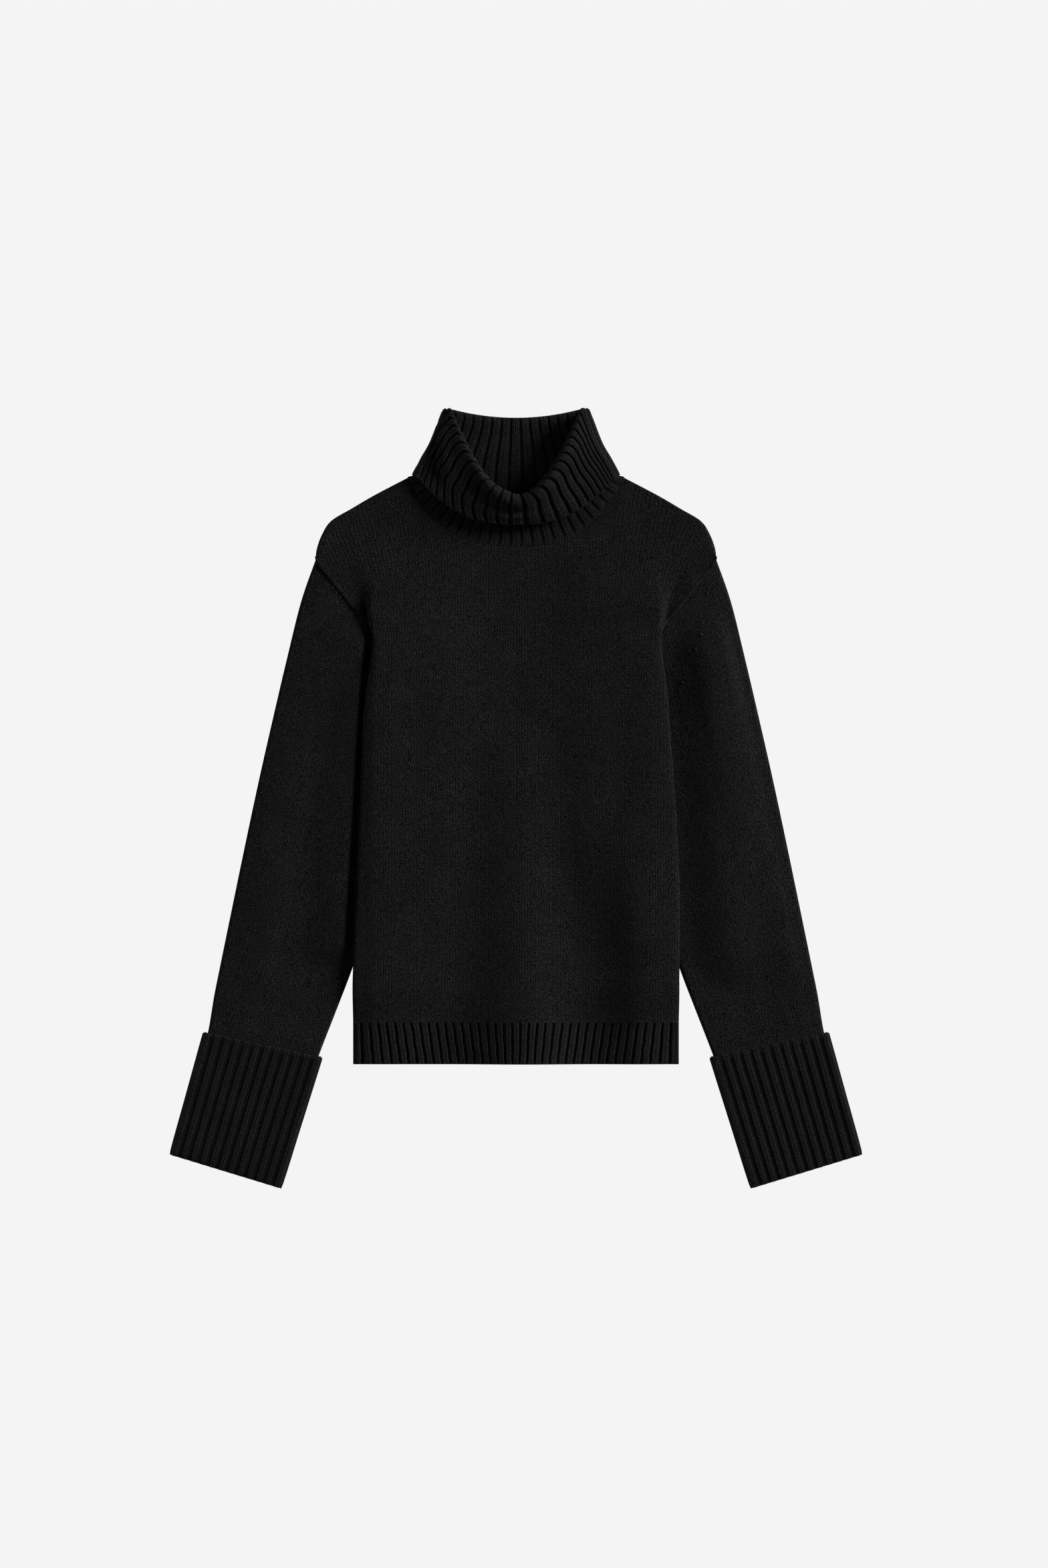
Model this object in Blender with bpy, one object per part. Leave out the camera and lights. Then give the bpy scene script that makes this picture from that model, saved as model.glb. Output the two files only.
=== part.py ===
"""Turtleneck sweater in black chunky knit, laid flat on its back with its sleeves beside the body.

Every piece is a cloth wall, made from two matching grids of points: one on each face of the cloth, with
a row for each section along the piece and a column for each step across it. Lengths are in millimetres
until a mesh is made. X runs across the garment, Y from the hem up to the collar, Z up from the surface.
"""

from collections import namedtuple
from math import pi

import bmesh
import bpy
import numpy as np

MM = 0.001

# The cloth, and how its layers lie
CLOTH = 3.0              # thickness of the knit
GAP = 0.3                # air between two pieces, at a seam or one on the other
LAYER = CLOTH + GAP
RIB_HEIGHT = 1.3         # how far a 2x2 rib stands above the groove beside it
RIB_STEPS = (1.0, 1.0, 0.0)   # two points on the rib, one in the groove

# The body
HEM_SEAM_Y = -235.0      # where the plain knit ends and the hem rib begins
HEM_Y = -278.5
HEM_RIBS = 38
HEM_SLANT = 6.0          # the outer ribs lean in by this much towards the edge
HEM_RIBS_IN = 1.5        # they start this far in from the turned side
HEM_SECTIONS = 3         # from its free edge to its seam
NECK_COLUMNS = 24        # one column of a panel to each rib of the collar in front
CURVE_SAMPLES = 241      # points along a neckline before it is cut into even steps
NECK_GAP = 0.7           # a curved seam is cut by straight steps, so it stands a little further off

# One row for each section of a panel: its side edge, and 1 where the front turns down over a fold, or 0
# where it ends in a seam
Side = namedtuple("Side", "y x turned")
BODY_SIDE = (
    Side(-235.0, 170.5, 1.0),
    Side(-195.0, 171.0, 1.0),
    Side(-155.0, 169.5, 1.0),
    Side(-110.0, 167.5, 1.0),
    Side(-65.0, 165.5, 1.0),
    Side(-20.0, 163.5, 1.0),
    Side(25.0, 162.0, 1.0),
    Side(70.0, 160.5, 1.0),
    Side(105.0, 159.0, 1.0),
    Side(135.0, 155.5, 1.0),
    Side(160.0, 152.5, 1.0),
    Side(178.0, 154.5, 0.0),      # underarm, where the armhole seam comes out from the side fold
    Side(191.0, 165.2, 0.0),
    Side(214.0, 184.2, 0.0),
    Side(246.0, 210.5, 0.0),      # the armhole seam reaches the outer edge
    Side(261.0, 208.5, 1.0),
    Side(276.0, 203.0, 1.0),
    Side(290.0, 193.5, 1.0),
    Side(303.0, 172.0, 1.0),
    Side(317.0, 148.0, 1.0),
    Side(334.7, 114.3, 1.0),      # foot of the collar
)
UNDERARM = BODY_SIDE[11]

# Steps of the front's edge: how far in from the fold, and the height above the back or below the front's
# own top
Turn = namedtuple("Turn", "outer_in outer_z inner_in inner_z from_top")
FOLD_EDGE = (
    Turn(1.2, 0.1, 3.0, 0.1, False),
    Turn(0.0, 2.6, 2.9, 1.6, False),
    Turn(0.7, -1.6, 3.0, -3.6, True),
    Turn(3.2, 0.0, 4.4, -3.0, True),
)
SEAM_EDGE = (
    Turn(0.0, -2.9, 1.0, -3.0, True),
    Turn(0.0, -2.0, 2.0, -3.0, True),
    Turn(0.1, -0.8, 3.2, -3.0, True),
    Turn(1.5, 0.0, 5.0, -3.0, True),
)
BACK_INSET = 4.6         # the back ends inside the front's turned edge

# The neck seam of each panel
Neck = namedtuple("Neck", "half_width side_y centre_y power")
FRONT_NECK = Neck(113.6, 334.7, 264.0, 3.0)
BACK_NECK = Neck(113.6, 332.2, 312.0, 2.0)
NECK_REACH = 0.45        # the share of a panel's height above which its rows bend to the neck

# Soft folds of the front: a ridge from one end to the other, with its height and half width at each
Fold = namedtuple("Fold", "x0 y0 x1 y1 height0 height1 width0 width1")
FRONT_FOLDS = (
    Fold(24.0, -50.0, 100.0, -240.0, 1.5, 3.5, 18.0, 30.0),
    Fold(-60.0, -120.0, -95.0, -232.0, 0.5, 2.0, 20.0, 28.0),
)

# The sleeve on the left, from the armhole to the cuff: its outer and inner edge, how far it is lifted
# off the surface, and how far its upper layer stands off the lower one near the outer fold
Sleeve = namedtuple("Sleeve", "outer_x outer_y inner_x inner_y lift puff")
SLEEVE = (
    Sleeve(-211.0, 245.4, -99.6, 110.0, 0.0, 0.6),
    Sleeve(-225.0, 205.0, -103.0, 90.0, 0.0, 1.2),
    Sleeve(-239.0, 149.0, -108.0, 60.0, 0.0, 1.8),
    Sleeve(-252.0, 94.0, -116.0, 20.0, 0.0, 2.0),
    Sleeve(-268.0, 24.0, -127.0, -30.0, 0.0, 2.0),
    Sleeve(-283.0, -46.0, -141.0, -82.0, 0.0, 2.0),
    Sleeve(-297.5, -116.0, -156.0, -134.0, 0.0, 2.0),
    Sleeve(-309.0, -172.0, -173.0, -183.0, 0.2, 1.8),
    Sleeve(-316.0, -207.0, -188.0, -222.0, 1.4, 1.2),
    Sleeve(-322.0, -243.0, -206.5, -270.0, 3.5, 0.0),
)
SLEEVE_SLACK = 0.5       # air between its two layers, beyond the gap at a seam
PUFF_SHARE = 0.4         # the share of its width over which the upper layer stands off
SLEEVE_STEPS = (0.0, 0.05, 0.12, 0.22, 0.36, 0.52, 0.68, 0.84, 1.0)
UNDER_STEPS = (0.0, 0.25, 0.5, 0.75, 1.0)
SLEEVE_SPACE = 7.4       # how far the body is lifted where it lies over a sleeve
LIFT_NEAR, LIFT_FAR = 14.0, 56.0   # it comes down between these distances from the sleeve
LIFT_PAST_X, LIFT_PAST_Y = 2.5, 3.0   # the lift ends just past the underarm
CREASE_IN, CREASE_OUT = 150.0, 168.0   # above the underarm the shoulder drops across this crease
CREASE_RUN = 14.0        # and the crease deepens over this height
BODY_SLACK = 1.7         # the front stands off the back where both climb over the sleeve
SLACK_IN, SLACK_OUT = 30.0, 80.0   # across this stretch from the middle
SLACK_TOP, SLACK_END = 245.0, 290.0   # and fades out towards the shoulder
SLACK_RISE = 40.0        # and over this height above the hem

# The cuff on the left: its four corners, and one row for each ring of its cloth, from the sleeve round
# the fold and up to the free edge
CUFF_TOP = ((-328.0, -247.0), (-203.0, -273.5))
CUFF_FOLD = ((-362.6, -372.5), (-245.4, -408.4))
CUFF_RIBS = 12
CUFF_SEAM_GAP = 0.004    # share of its length left open at its seam with the sleeve
Cuff = namedtuple("Cuff", "down inset upper_z lower_z ribbed")
CUFF_RINGS = (
    Cuff(0.12, 5.2, 8.7, 5.1, 0.0),
    Cuff(0.5, 5.2, 8.7, 5.1, 0.0),
    Cuff(0.955, 5.2, 8.7, 5.1, 0.0),
    Cuff(0.988, 3.4, 10.5, 3.3, 1.0),
    Cuff(0.955, 1.6, 12.3, 1.5, 1.0),
    Cuff(0.5, 1.6, 12.5, 1.5, 1.0),
    Cuff(0.03, 1.6, 12.3, 1.5, 1.0),
    Cuff(0.0, 1.6, 12.1, 1.5, 0.6),
)

# The collar: one row for each ring of its cloth, from the neck seam up the stand, over the fold and down.
# Its side fold is turned up from sideways by lean, in degrees, to lie square to the collar's outline.
Ring = namedtuple(
    "Ring",
    "side_x side_y lean front_y back_y power front_z side_z back_z out_ribs in_ribs back_ribs",
)
COLLAR_RINGS = (
    Ring(113.0, 334.5, 55.0, 264.4, 312.0, 3.0, 5.0, 5.0, 1.5, 1.0, 0.0, 0.0),
    Ring(103.2, 338.0, 50.0, 283.0, 330.0, 2.6, 5.2, 8.9, 4.7, 1.0, 0.0, 1.0),
    Ring(95.0, 351.0, 29.0, 296.0, 352.0, 2.2, 8.0, 9.3, 5.0, 0.0, 0.0, 1.0),
    Ring(79.0, 381.0, 27.0, 308.0, 376.0, 1.9, 12.5, 9.4, 5.0, 0.0, 0.0, 1.0),
    Ring(72.5, 397.0, 0.0, 313.0, 391.0, 1.8, 16.5, 9.5, 5.0, 0.0, 1.0, 1.0),
    Ring(74.5, 405.7, 0.0, 312.5, 396.5, 1.8, 21.0, 11.2, 3.2, 0.0, 1.0, 0.5),
    Ring(78.7, 397.0, 0.0, 304.5, 391.0, 1.85, 22.5, 13.0, 1.5, 0.0, 1.0, 0.0),
    Ring(89.0, 371.0, 25.0, 295.5, 378.0, 2.1, 18.5, 13.0, 1.5, 0.0, 1.0, 0.0),
    Ring(98.5, 354.5, 29.0, 289.8, 365.0, 2.35, 13.8, 13.0, 1.5, 0.0, 1.0, 0.0),
    Ring(106.2, 340.3, 29.0, 286.0, 352.0, 2.5, 10.8, 13.0, 1.5, 0.0, 1.0, 0.0),
)
COLLAR_FRONT_RIBS = 24
COLLAR_BACK_RIBS = 14
LEFT, RIGHT = (1.0, 1.0, 1.0), (-1.0, 1.0, 1.0)   # sleeves and cuffs are made on the left, and mirrored
CAP_STEPS = 3            # points round the side fold of a tube, between its upper and its lower layer
CAP_REACH = 1.15         # a flat tube's side fold is a little wider than it is high

# Finish: black wool, the ribs a little deeper in tone
BLACK_KNIT = (0.0085, 0.0085, 0.009)
BLACK_RIB = (0.006, 0.006, 0.0065)
WOOL_ROUGHNESS = 0.92


def smooth(share):
    """An even S-curve from 0 to 1."""
    share = np.clip(share, 0.0, 1.0)
    return share * share * (3.0 - 2.0 * share)


def evenly(points, count):
    """The polyline through the points, cut into count points that are the same distance apart."""
    points = np.asarray(points, float)
    steps = np.linalg.norm(np.diff(points, axis=0), axis=1)
    reach = np.concatenate([[0.0], np.cumsum(steps)])
    wanted = np.linspace(0.0, reach[-1], count)
    return np.stack([np.interp(wanted, reach, axis) for axis in points.T], axis=1)


def u_curve(half_width, side_y, centre_y, power, count):
    """A neckline from left to right: level with side_y at its ends and at centre_y in the middle."""
    x = half_width * np.sin(np.linspace(-pi / 2, pi / 2, CURVE_SAMPLES))
    y = side_y - (side_y - centre_y) * (1.0 - np.abs(x / half_width) ** power)
    return evenly(np.stack([x, y], axis=1), count)


def rib_heights(ribs):
    """Height of each point across a run of ribs, ending on the first point of a rib."""
    return RIB_HEIGHT * np.array(RIB_STEPS * ribs + RIB_STEPS[:1])


def body_lift(x, y):
    """How far the underside of the body lies above the surface: it climbs over both sleeves."""
    edge = sorted((row.inner_y, -row.inner_x) for row in SLEEVE if row.inner_y > BODY_SIDE[1].y)
    edge_y = [row[0] for row in edge] + [UNDERARM.y + LIFT_PAST_Y]
    edge_x = [row[1] for row in edge] + [UNDERARM.x + LIFT_PAST_X]
    beside = np.maximum(np.interp(y, edge_y, edge_x) - np.abs(x), 0.0)
    beyond = np.maximum(y - edge_y[-1], 0.0) + np.maximum(edge_y[0] - y, 0.0)
    off = np.hypot(beside, beyond)
    above_underarm = smooth((y - UNDERARM.y) / CREASE_RUN)
    crease = smooth((np.abs(x) - CREASE_IN) / (CREASE_OUT - CREASE_IN)) * above_underarm
    near_sleeve = 1.0 - smooth((off - LIFT_NEAR) / (LIFT_FAR - LIFT_NEAR))
    return SLEEVE_SPACE * near_sleeve * (1.0 - crease)


def body_slack(x, y):
    """How far the front stands off the back, over and near the sleeves."""
    near_side = smooth((np.abs(x) - SLACK_IN) / (SLACK_OUT - SLACK_IN))
    below_shoulder = 1.0 - smooth((y - SLACK_TOP) / (SLACK_END - SLACK_TOP))
    above_hem = smooth((y - HEM_SEAM_Y) / SLACK_RISE)
    return BODY_SLACK * near_side * below_shoulder * above_hem


def front_folds(x, y):
    """Height of the front's soft folds."""
    height = np.zeros_like(x)
    for fold in FRONT_FOLDS:
        run = np.array([fold.x1 - fold.x0, fold.y1 - fold.y0])
        along = ((x - fold.x0) * run[0] + (y - fold.y0) * run[1]) / (run @ run)
        along = np.clip(along, 0.0, 1.0)
        off = np.hypot(x - fold.x0 - along * run[0], y - fold.y0 - along * run[1])
        width = fold.width0 + along * (fold.width1 - fold.width0)
        crest = fold.height0 + along * (fold.height1 - fold.height0)
        height += crest * (1.0 - smooth(off / width))
    return height


def faces_of(points, around):
    """Index grid of a point array, with its first column again at the end where the piece is a tube."""
    rows, columns = points.shape[:2]
    index = np.arange(rows * columns).reshape(rows, columns)
    return np.concatenate([index, index[:, :1]], axis=1) if around else index


def cloth(name, outer, inner, around, colour):
    """One piece of cloth: the outer face, the inner face and the edges between them, as one closed mesh."""
    first = faces_of(outer, around)
    second = first + outer.shape[0] * outer.shape[1]
    mesh = bmesh.new()
    points = np.concatenate([outer.reshape(-1, 3), inner.reshape(-1, 3)]) * MM
    corners = [mesh.verts.new(point) for point in points]

    def strip(low, high):
        for a, b, c, d in zip(low[:-1], low[1:], high[1:], high[:-1]):
            mesh.faces.new([corners[a], corners[b], corners[c], corners[d]])

    for row in range(outer.shape[0] - 1):
        strip(first[row], first[row + 1])
        strip(second[row + 1], second[row])
    strip(second[0], first[0])
    strip(first[-1], second[-1])
    if not around:
        strip(first[:, 0], second[:, 0])
        strip(second[:, -1], first[:, -1])
    bmesh.ops.recalc_face_normals(mesh, faces=mesh.faces)
    bmesh.ops.triangulate(mesh, faces=mesh.faces)
    data = bpy.data.meshes.new(name)
    mesh.to_mesh(data)
    mesh.free()
    piece = bpy.data.objects.new(name, data)
    bpy.context.collection.objects.link(piece)
    data.materials.append(wool(name + "_wool", colour))
    data.shade_smooth()
    data.set_sharp_from_angle(angle=pi / 3)
    return piece


def wool(name, colour):
    """Matt black wool."""
    material = bpy.data.materials.new(name)
    material.use_nodes = True
    shader = material.node_tree.nodes["Principled BSDF"]
    shader.inputs["Base Color"].default_value = (*colour, 1.0)
    shader.inputs["Roughness"].default_value = WOOL_ROUGHNESS
    shader.inputs["Metallic"].default_value = 0.0
    return material


def thick(middle, outer_height, inner_height, around):
    """Both faces of a cloth from its middle surface, each moved off it by its own height."""
    if around:
        across = np.roll(middle, -1, axis=1) - np.roll(middle, 1, axis=1)
    else:
        across = np.gradient(middle, axis=1)
    along = np.gradient(middle, axis=0)
    normal = np.cross(across, along)
    normal /= np.linalg.norm(normal, axis=2, keepdims=True)
    return middle + normal * outer_height[..., None], middle - normal * inner_height[..., None]


# Body panels ------------------------------------------------------------------------------------------


def panel_plan(neck):
    """X and Y of a panel's inner columns: level rows that bend down to the neck seam near the top."""
    side = np.array([(row.x, row.y) for row in BODY_SIDE])
    reach = np.concatenate([[0.0], np.cumsum(np.linalg.norm(np.diff(side, axis=0), axis=1))])
    bend = smooth((reach / reach[-1] - NECK_REACH) / (1.0 - NECK_REACH))
    half_width, centre_y = neck.half_width + NECK_GAP, neck.centre_y - NECK_GAP
    top = u_curve(half_width, neck.side_y, centre_y, neck.power, NECK_COLUMNS + 1)
    share = np.linspace(-1.0, 1.0, NECK_COLUMNS + 1)
    x = side[:, :1] * share + bend[:, None] * (top[:, 0] - share * side[-1, 0])
    y = side[:, 1:] + bend[:, None] * (top[:, 1] - side[-1, 1])
    return x[:, 1:-1], y[:, 1:-1]


def inward(rows):
    """Unit vectors from a side edge into the panel, at right angles to the edge."""
    edge = np.array([(-row.x, row.y) for row in rows])
    run = np.gradient(edge, axis=0)
    run /= np.linalg.norm(run, axis=1, keepdims=True)
    return edge, np.stack([run[:, 1], -run[:, 0]], axis=1)


def turned_edge(rows, top_of):
    """Points of the front's left edge, from its underside up to its top: a fold, or plain at a seam."""
    edge, into = inward(rows)
    turned = np.array([row.turned for row in rows])
    outer, inner = [], []
    for fold, seam in zip(FOLD_EDGE, SEAM_EDGE):
        for points, which in ((outer, "outer"), (inner, "inner")):
            fold_in, seam_in = getattr(fold, which + "_in"), getattr(seam, which + "_in")
            step = turned * fold_in + (1.0 - turned) * seam_in
            x, y = (edge + into * step[:, None]).T
            top, base = top_of(x, y), body_lift(x, y)
            fold_z = getattr(fold, which + "_z") + (top if fold.from_top else base)
            seam_z = getattr(seam, which + "_z") + top
            points.append(np.stack([x, y, turned * fold_z + (1.0 - turned) * seam_z], axis=1))
    return np.stack(outer, axis=1), np.stack(inner, axis=1)


def mirrored(columns):
    """The same columns on the other side of the garment, in reverse order."""
    return columns[:, ::-1] * (-1.0, 1.0, 1.0)


def front_top(x, y):
    return body_lift(x, y) + LAYER + CLOTH + body_slack(x, y) + front_folds(x, y)


def make_front():
    x, y = panel_plan(FRONT_NECK)
    top = front_top(x, y)
    outer_edge, inner_edge = turned_edge(BODY_SIDE, front_top)
    outer_right, inner_right = turned_edge(BODY_SIDE, lambda across, up: front_top(-across, up))
    upper, under = np.stack([x, y, top], axis=2), np.stack([x, y, top - CLOTH], axis=2)
    outer = np.concatenate([outer_edge, upper, mirrored(outer_right)], axis=1)
    inner = np.concatenate([inner_edge, under, mirrored(inner_right)], axis=1)
    return cloth("front", outer, inner, False, BLACK_KNIT)


def make_back():
    x, y = panel_plan(BACK_NECK)
    edge, into = inward(BODY_SIDE)
    turned = np.array([row.turned for row in BODY_SIDE])
    beside_fold = np.maximum(np.roll(turned, 1), np.roll(turned, -1))
    inset = np.maximum(turned, beside_fold) * BACK_INSET
    left = edge + into * inset[:, None]
    x = np.concatenate([left[:, :1], x, -left[:, :1]], axis=1)
    y = np.concatenate([left[:, 1:], y, left[:, 1:]], axis=1)
    base = body_lift(x, y)
    upper, under = np.stack([x, y, base + CLOTH], axis=2), np.stack([x, y, base], axis=2)
    return cloth("back", upper, under, False, BLACK_KNIT)


# Hem --------------------------------------------------------------------------------------------------


def hem_sides():
    """The hem's sections, from its free edge to its seam."""
    width = BODY_SIDE[0].x
    return [Side(y, width, 1.0) for y in np.linspace(HEM_Y, HEM_SEAM_Y - GAP, HEM_SECTIONS)]


def make_hem_front():
    sides = hem_sides()
    heights = rib_heights(HEM_RIBS)
    share = np.linspace(-1.0, 1.0, len(heights))
    down = np.linspace(1.0, 0.0, len(sides))[:, None]
    x = share * (sides[0].x - FOLD_EDGE[-1].outer_in - HEM_RIBS_IN) * np.ones_like(down)
    x -= down * HEM_SLANT * np.sin(share * pi) * np.abs(share)
    y = np.array([row.y for row in sides])[:, None] * np.ones_like(x)
    plain = front_top(x, y) - RIB_HEIGHT
    outer_edge, inner_edge = turned_edge(sides, lambda across, up: front_top(across, up) - RIB_HEIGHT / 2)
    ribbed = np.stack([x, y, plain + heights], axis=2)
    outer = np.concatenate([outer_edge, ribbed, mirrored(outer_edge)], axis=1)
    under = np.stack([x, y, front_top(x, y) - CLOTH], axis=2)
    inner = np.concatenate([inner_edge, under, mirrored(inner_edge)], axis=1)
    return cloth("hem_front", outer, inner, False, BLACK_RIB)


def make_hem_back():
    sides = hem_sides()
    share = np.linspace(-1.0, 1.0, NECK_COLUMNS + 1)
    x = share * (sides[0].x - BACK_INSET) * np.ones((len(sides), 1))
    y = np.array([row.y for row in sides])[:, None] * np.ones_like(x)
    base = body_lift(x, y)
    top = np.stack([x, y, base + CLOTH], axis=2)
    return cloth("hem_back", top, np.stack([x, y, base], axis=2), False, BLACK_RIB)


# Sleeves and cuffs ------------------------------------------------------------------------------------


def cap_angles():
    """Angles of the points round a tube's side fold, from its upper layer to its lower one."""
    return np.linspace(0.0, pi, CAP_STEPS + 2)[1:-1]


def flat_ring(left, right, upper_z, lower_z, upper_steps, lower_steps):
    """A flattened ring of a tube: its upper layer left to right, round the fold, its lower layer back."""
    across = (right - left) / np.linalg.norm(right - left)
    radius, end_radius = 0.5 * (upper_z[0] - lower_z), 0.5 * (upper_z[-1] - lower_z)
    reach, end_reach = across * radius * CAP_REACH, across * end_radius * CAP_REACH
    start, end = left + reach, right - end_reach
    upper = [(*(start + (end - start) * step), z) for step, z in zip(upper_steps, upper_z)]
    lower = [(*(end + (start - end) * step), lower_z) for step in lower_steps]
    right_cap, left_cap = [], []
    for angle in cap_angles():
        sine, cosine = np.sin(angle), np.cos(angle)
        right_cap.append((*(end + end_reach * sine), lower_z + end_radius * (1 + cosine)))
        left_cap.append((*(start - reach * sine), lower_z + radius * (1 - cosine)))
    return upper + right_cap + lower + left_cap


def moved_in(left, right, inset):
    """Both ends of a line across a tube, moved in along it."""
    left, right = np.array(left, float), np.array(right, float)
    step = inset * (right - left) / np.linalg.norm(right - left)
    return left + step, right - step


def cuff_line(down, inset):
    """The line across the cuff at a share of the way down it."""
    top, fold = np.array(CUFF_TOP), np.array(CUFF_FOLD)
    return moved_in(*(top + (fold - top) * down), inset)


def make_sleeve(name, mirror):
    seam = CUFF_RINGS[0]
    steps = np.array(SLEEVE_STEPS)
    puff = np.sin(pi * np.clip(steps / PUFF_SHARE, 0.0, 1.0))
    rings = []
    for row in SLEEVE:
        upper = row.lift + SLEEVE_SLACK + LAYER + CLOTH / 2 + row.puff * puff
        ends = moved_in((row.outer_x, row.outer_y), (row.inner_x, row.inner_y), CLOTH / 2)
        rings.append(flat_ring(*ends, upper, row.lift + CLOTH / 2, steps, UNDER_STEPS))
    ends = cuff_line(seam.down - CUFF_SEAM_GAP, seam.inset)
    seam_z = np.full(len(steps), seam.upper_z)
    rings.append(flat_ring(*ends, seam_z, seam.lower_z, steps, UNDER_STEPS))
    half = np.full((len(rings), len(rings[0])), CLOTH / 2)
    outer, inner = thick(np.array(rings), half, half, True)
    return cloth(name, outer * mirror, inner * mirror, True, BLACK_KNIT)


def make_cuff(name, mirror):
    heights = rib_heights(CUFF_RIBS)
    steps = np.linspace(0.0, 1.0, len(heights))
    plain = np.full(2 * CAP_STEPS + len(UNDER_STEPS), RIB_HEIGHT / 2)
    rings, ribs = [], []
    for row in CUFF_RINGS:
        ends = cuff_line(row.down, row.inset)
        upper_z = np.full(len(steps), row.upper_z)
        rings.append(flat_ring(*ends, upper_z, row.lower_z, steps, UNDER_STEPS))
        ribs.append(row.ribbed * (np.concatenate([heights, plain]) - RIB_HEIGHT / 2))
    half = np.full((len(rings), len(rings[0])), CLOTH / 2)
    outer, inner = thick(np.array(rings), half + np.array(ribs), half, True)
    return cloth(name, outer * mirror, inner * mirror, True, BLACK_RIB)


# Collar -----------------------------------------------------------------------------------------------


def collar_ring(row):
    """One ring of the collar's tube: the front from left to right, round the side fold, then the back."""
    radius = 0.5 * (row.side_z - row.back_z)
    out, up = radius * np.cos(np.radians(row.lean)), radius * np.sin(np.radians(row.lean))
    half_width, side_y = row.side_x - out, row.side_y - up
    front = u_curve(half_width, side_y, row.front_y, row.power, 3 * COLLAR_FRONT_RIBS + 1)
    rise = np.sin(np.linspace(0.0, pi, len(front)))
    front_z = row.side_z + (row.front_z - row.side_z) * rise
    back = u_curve(half_width, side_y, row.back_y, 2.0, 3 * COLLAR_BACK_RIBS + 1)[::-1]
    centre = row.back_z + radius
    turn = [(np.sin(angle), radius * np.cos(angle)) for angle in cap_angles()]
    cap = [(half_width + out * reach, side_y + up * reach, z) for reach, z in turn]
    right_cap = [(x, y, centre + z) for x, y, z in cap]
    left_cap = [(-x, y, centre - z) for x, y, z in cap]
    upper = [(x, y, z) for (x, y), z in zip(front, front_z)]
    lower = [(x, y, row.back_z) for x, y in back]
    return upper + right_cap + lower + left_cap


def collar_ribs(ribs):
    """Heights across a collar layer, above and below its mean face: plain at both side folds."""
    heights = rib_heights(ribs) - RIB_HEIGHT / 2
    heights[[0, -1]] = 0.0
    return heights


def make_collar():
    front, back = collar_ribs(COLLAR_FRONT_RIBS), collar_ribs(COLLAR_BACK_RIBS)
    cap = np.zeros(CAP_STEPS)
    outside, inside = [], []
    for row in COLLAR_RINGS:
        outside.append(np.concatenate([row.out_ribs * front, cap, 0.0 * back, cap]))
        inside.append(np.concatenate([row.in_ribs * front, cap, row.back_ribs * back, cap]))
    middle = np.array([collar_ring(row) for row in COLLAR_RINGS])
    half = CLOTH / 2
    outer, inner = thick(middle, half + np.array(outside), half + np.array(inside), True)
    return cloth("collar", outer, inner, True, BLACK_RIB)


for leftover in list(bpy.data.objects):
    bpy.data.objects.remove(leftover, do_unlink=True)
make_front()
make_back()
make_hem_front()
make_hem_back()
make_sleeve("sleeve_left", LEFT)
make_sleeve("sleeve_right", RIGHT)
make_cuff("cuff_left", LEFT)
make_cuff("cuff_right", RIGHT)
make_collar()
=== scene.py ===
"""Turtleneck sweater in black wool, laid flat on its back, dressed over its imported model.

Sizes are in millimetres until a mesh is made. X runs across the garment, Y from the hem up to the collar
and Z up from the surface that it lies on.
"""

from collections import namedtuple
from math import pi

import bmesh
import bpy
import numpy as np
from mathutils import Matrix, Vector


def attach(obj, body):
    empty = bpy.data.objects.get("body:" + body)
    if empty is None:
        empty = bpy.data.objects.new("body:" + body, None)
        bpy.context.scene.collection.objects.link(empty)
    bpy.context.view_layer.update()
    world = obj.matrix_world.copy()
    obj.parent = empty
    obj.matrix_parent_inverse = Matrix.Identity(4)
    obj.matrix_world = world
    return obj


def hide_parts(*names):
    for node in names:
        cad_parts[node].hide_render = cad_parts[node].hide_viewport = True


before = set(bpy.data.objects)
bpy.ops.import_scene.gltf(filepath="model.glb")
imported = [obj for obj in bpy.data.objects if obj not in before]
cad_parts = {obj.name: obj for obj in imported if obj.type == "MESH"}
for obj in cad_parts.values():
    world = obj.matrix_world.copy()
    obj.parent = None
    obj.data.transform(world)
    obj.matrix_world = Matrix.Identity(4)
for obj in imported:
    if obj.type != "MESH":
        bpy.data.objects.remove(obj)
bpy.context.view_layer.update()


# Back panel -------------------------------------------------------------------------------------------
# The back is a plain knitted panel, cut to the same width as the front and lying under it. It is knitted
# flat in black wool, one wale beside the next, and seamed to the front inside the folds at its sides.

MM = 0.001
TINY = 1e-6              # small enough to count as nothing
CLOTH = 3.0              # thickness of the knit
GAP = 0.3                # air between two pieces
LAYER = CLOTH + GAP
HEM_SEAM_Y = -235.0      # where the plain knit ends and the hem rib begins
# A panel's side edge, with 1 where the front turns down over a fold and 0 at an armhole seam
Side = namedtuple("Side", "y x turned")
BODY_SIDE = (
    Side(-235.0, 170.5, 1.0),
    Side(-195.0, 171.0, 1.0),
    Side(-155.0, 169.5, 1.0),
    Side(-110.0, 167.5, 1.0),
    Side(-65.0, 165.5, 1.0),
    Side(-20.0, 163.5, 1.0),
    Side(25.0, 162.0, 1.0),
    Side(70.0, 160.5, 1.0),
    Side(105.0, 159.0, 1.0),
    Side(135.0, 155.5, 1.0),
    Side(160.0, 152.5, 1.0),
    Side(178.0, 154.5, 0.0),
    Side(191.0, 165.2, 0.0),
    Side(214.0, 184.2, 0.0),
    Side(243.0, 207.4, 0.0),
    Side(246.0, 209.8, 0.0),
    Side(250.5, 209.6, 0.6),
    Side(261.0, 208.5, 1.0),
    Side(276.0, 203.0, 1.0),
    Side(290.0, 193.5, 1.0),
    Side(303.0, 172.0, 1.0),
    Side(317.0, 148.0, 1.0),
    Side(335.6, 112.4, 1.0),
)
UNDERARM = BODY_SIDE[11]
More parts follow.
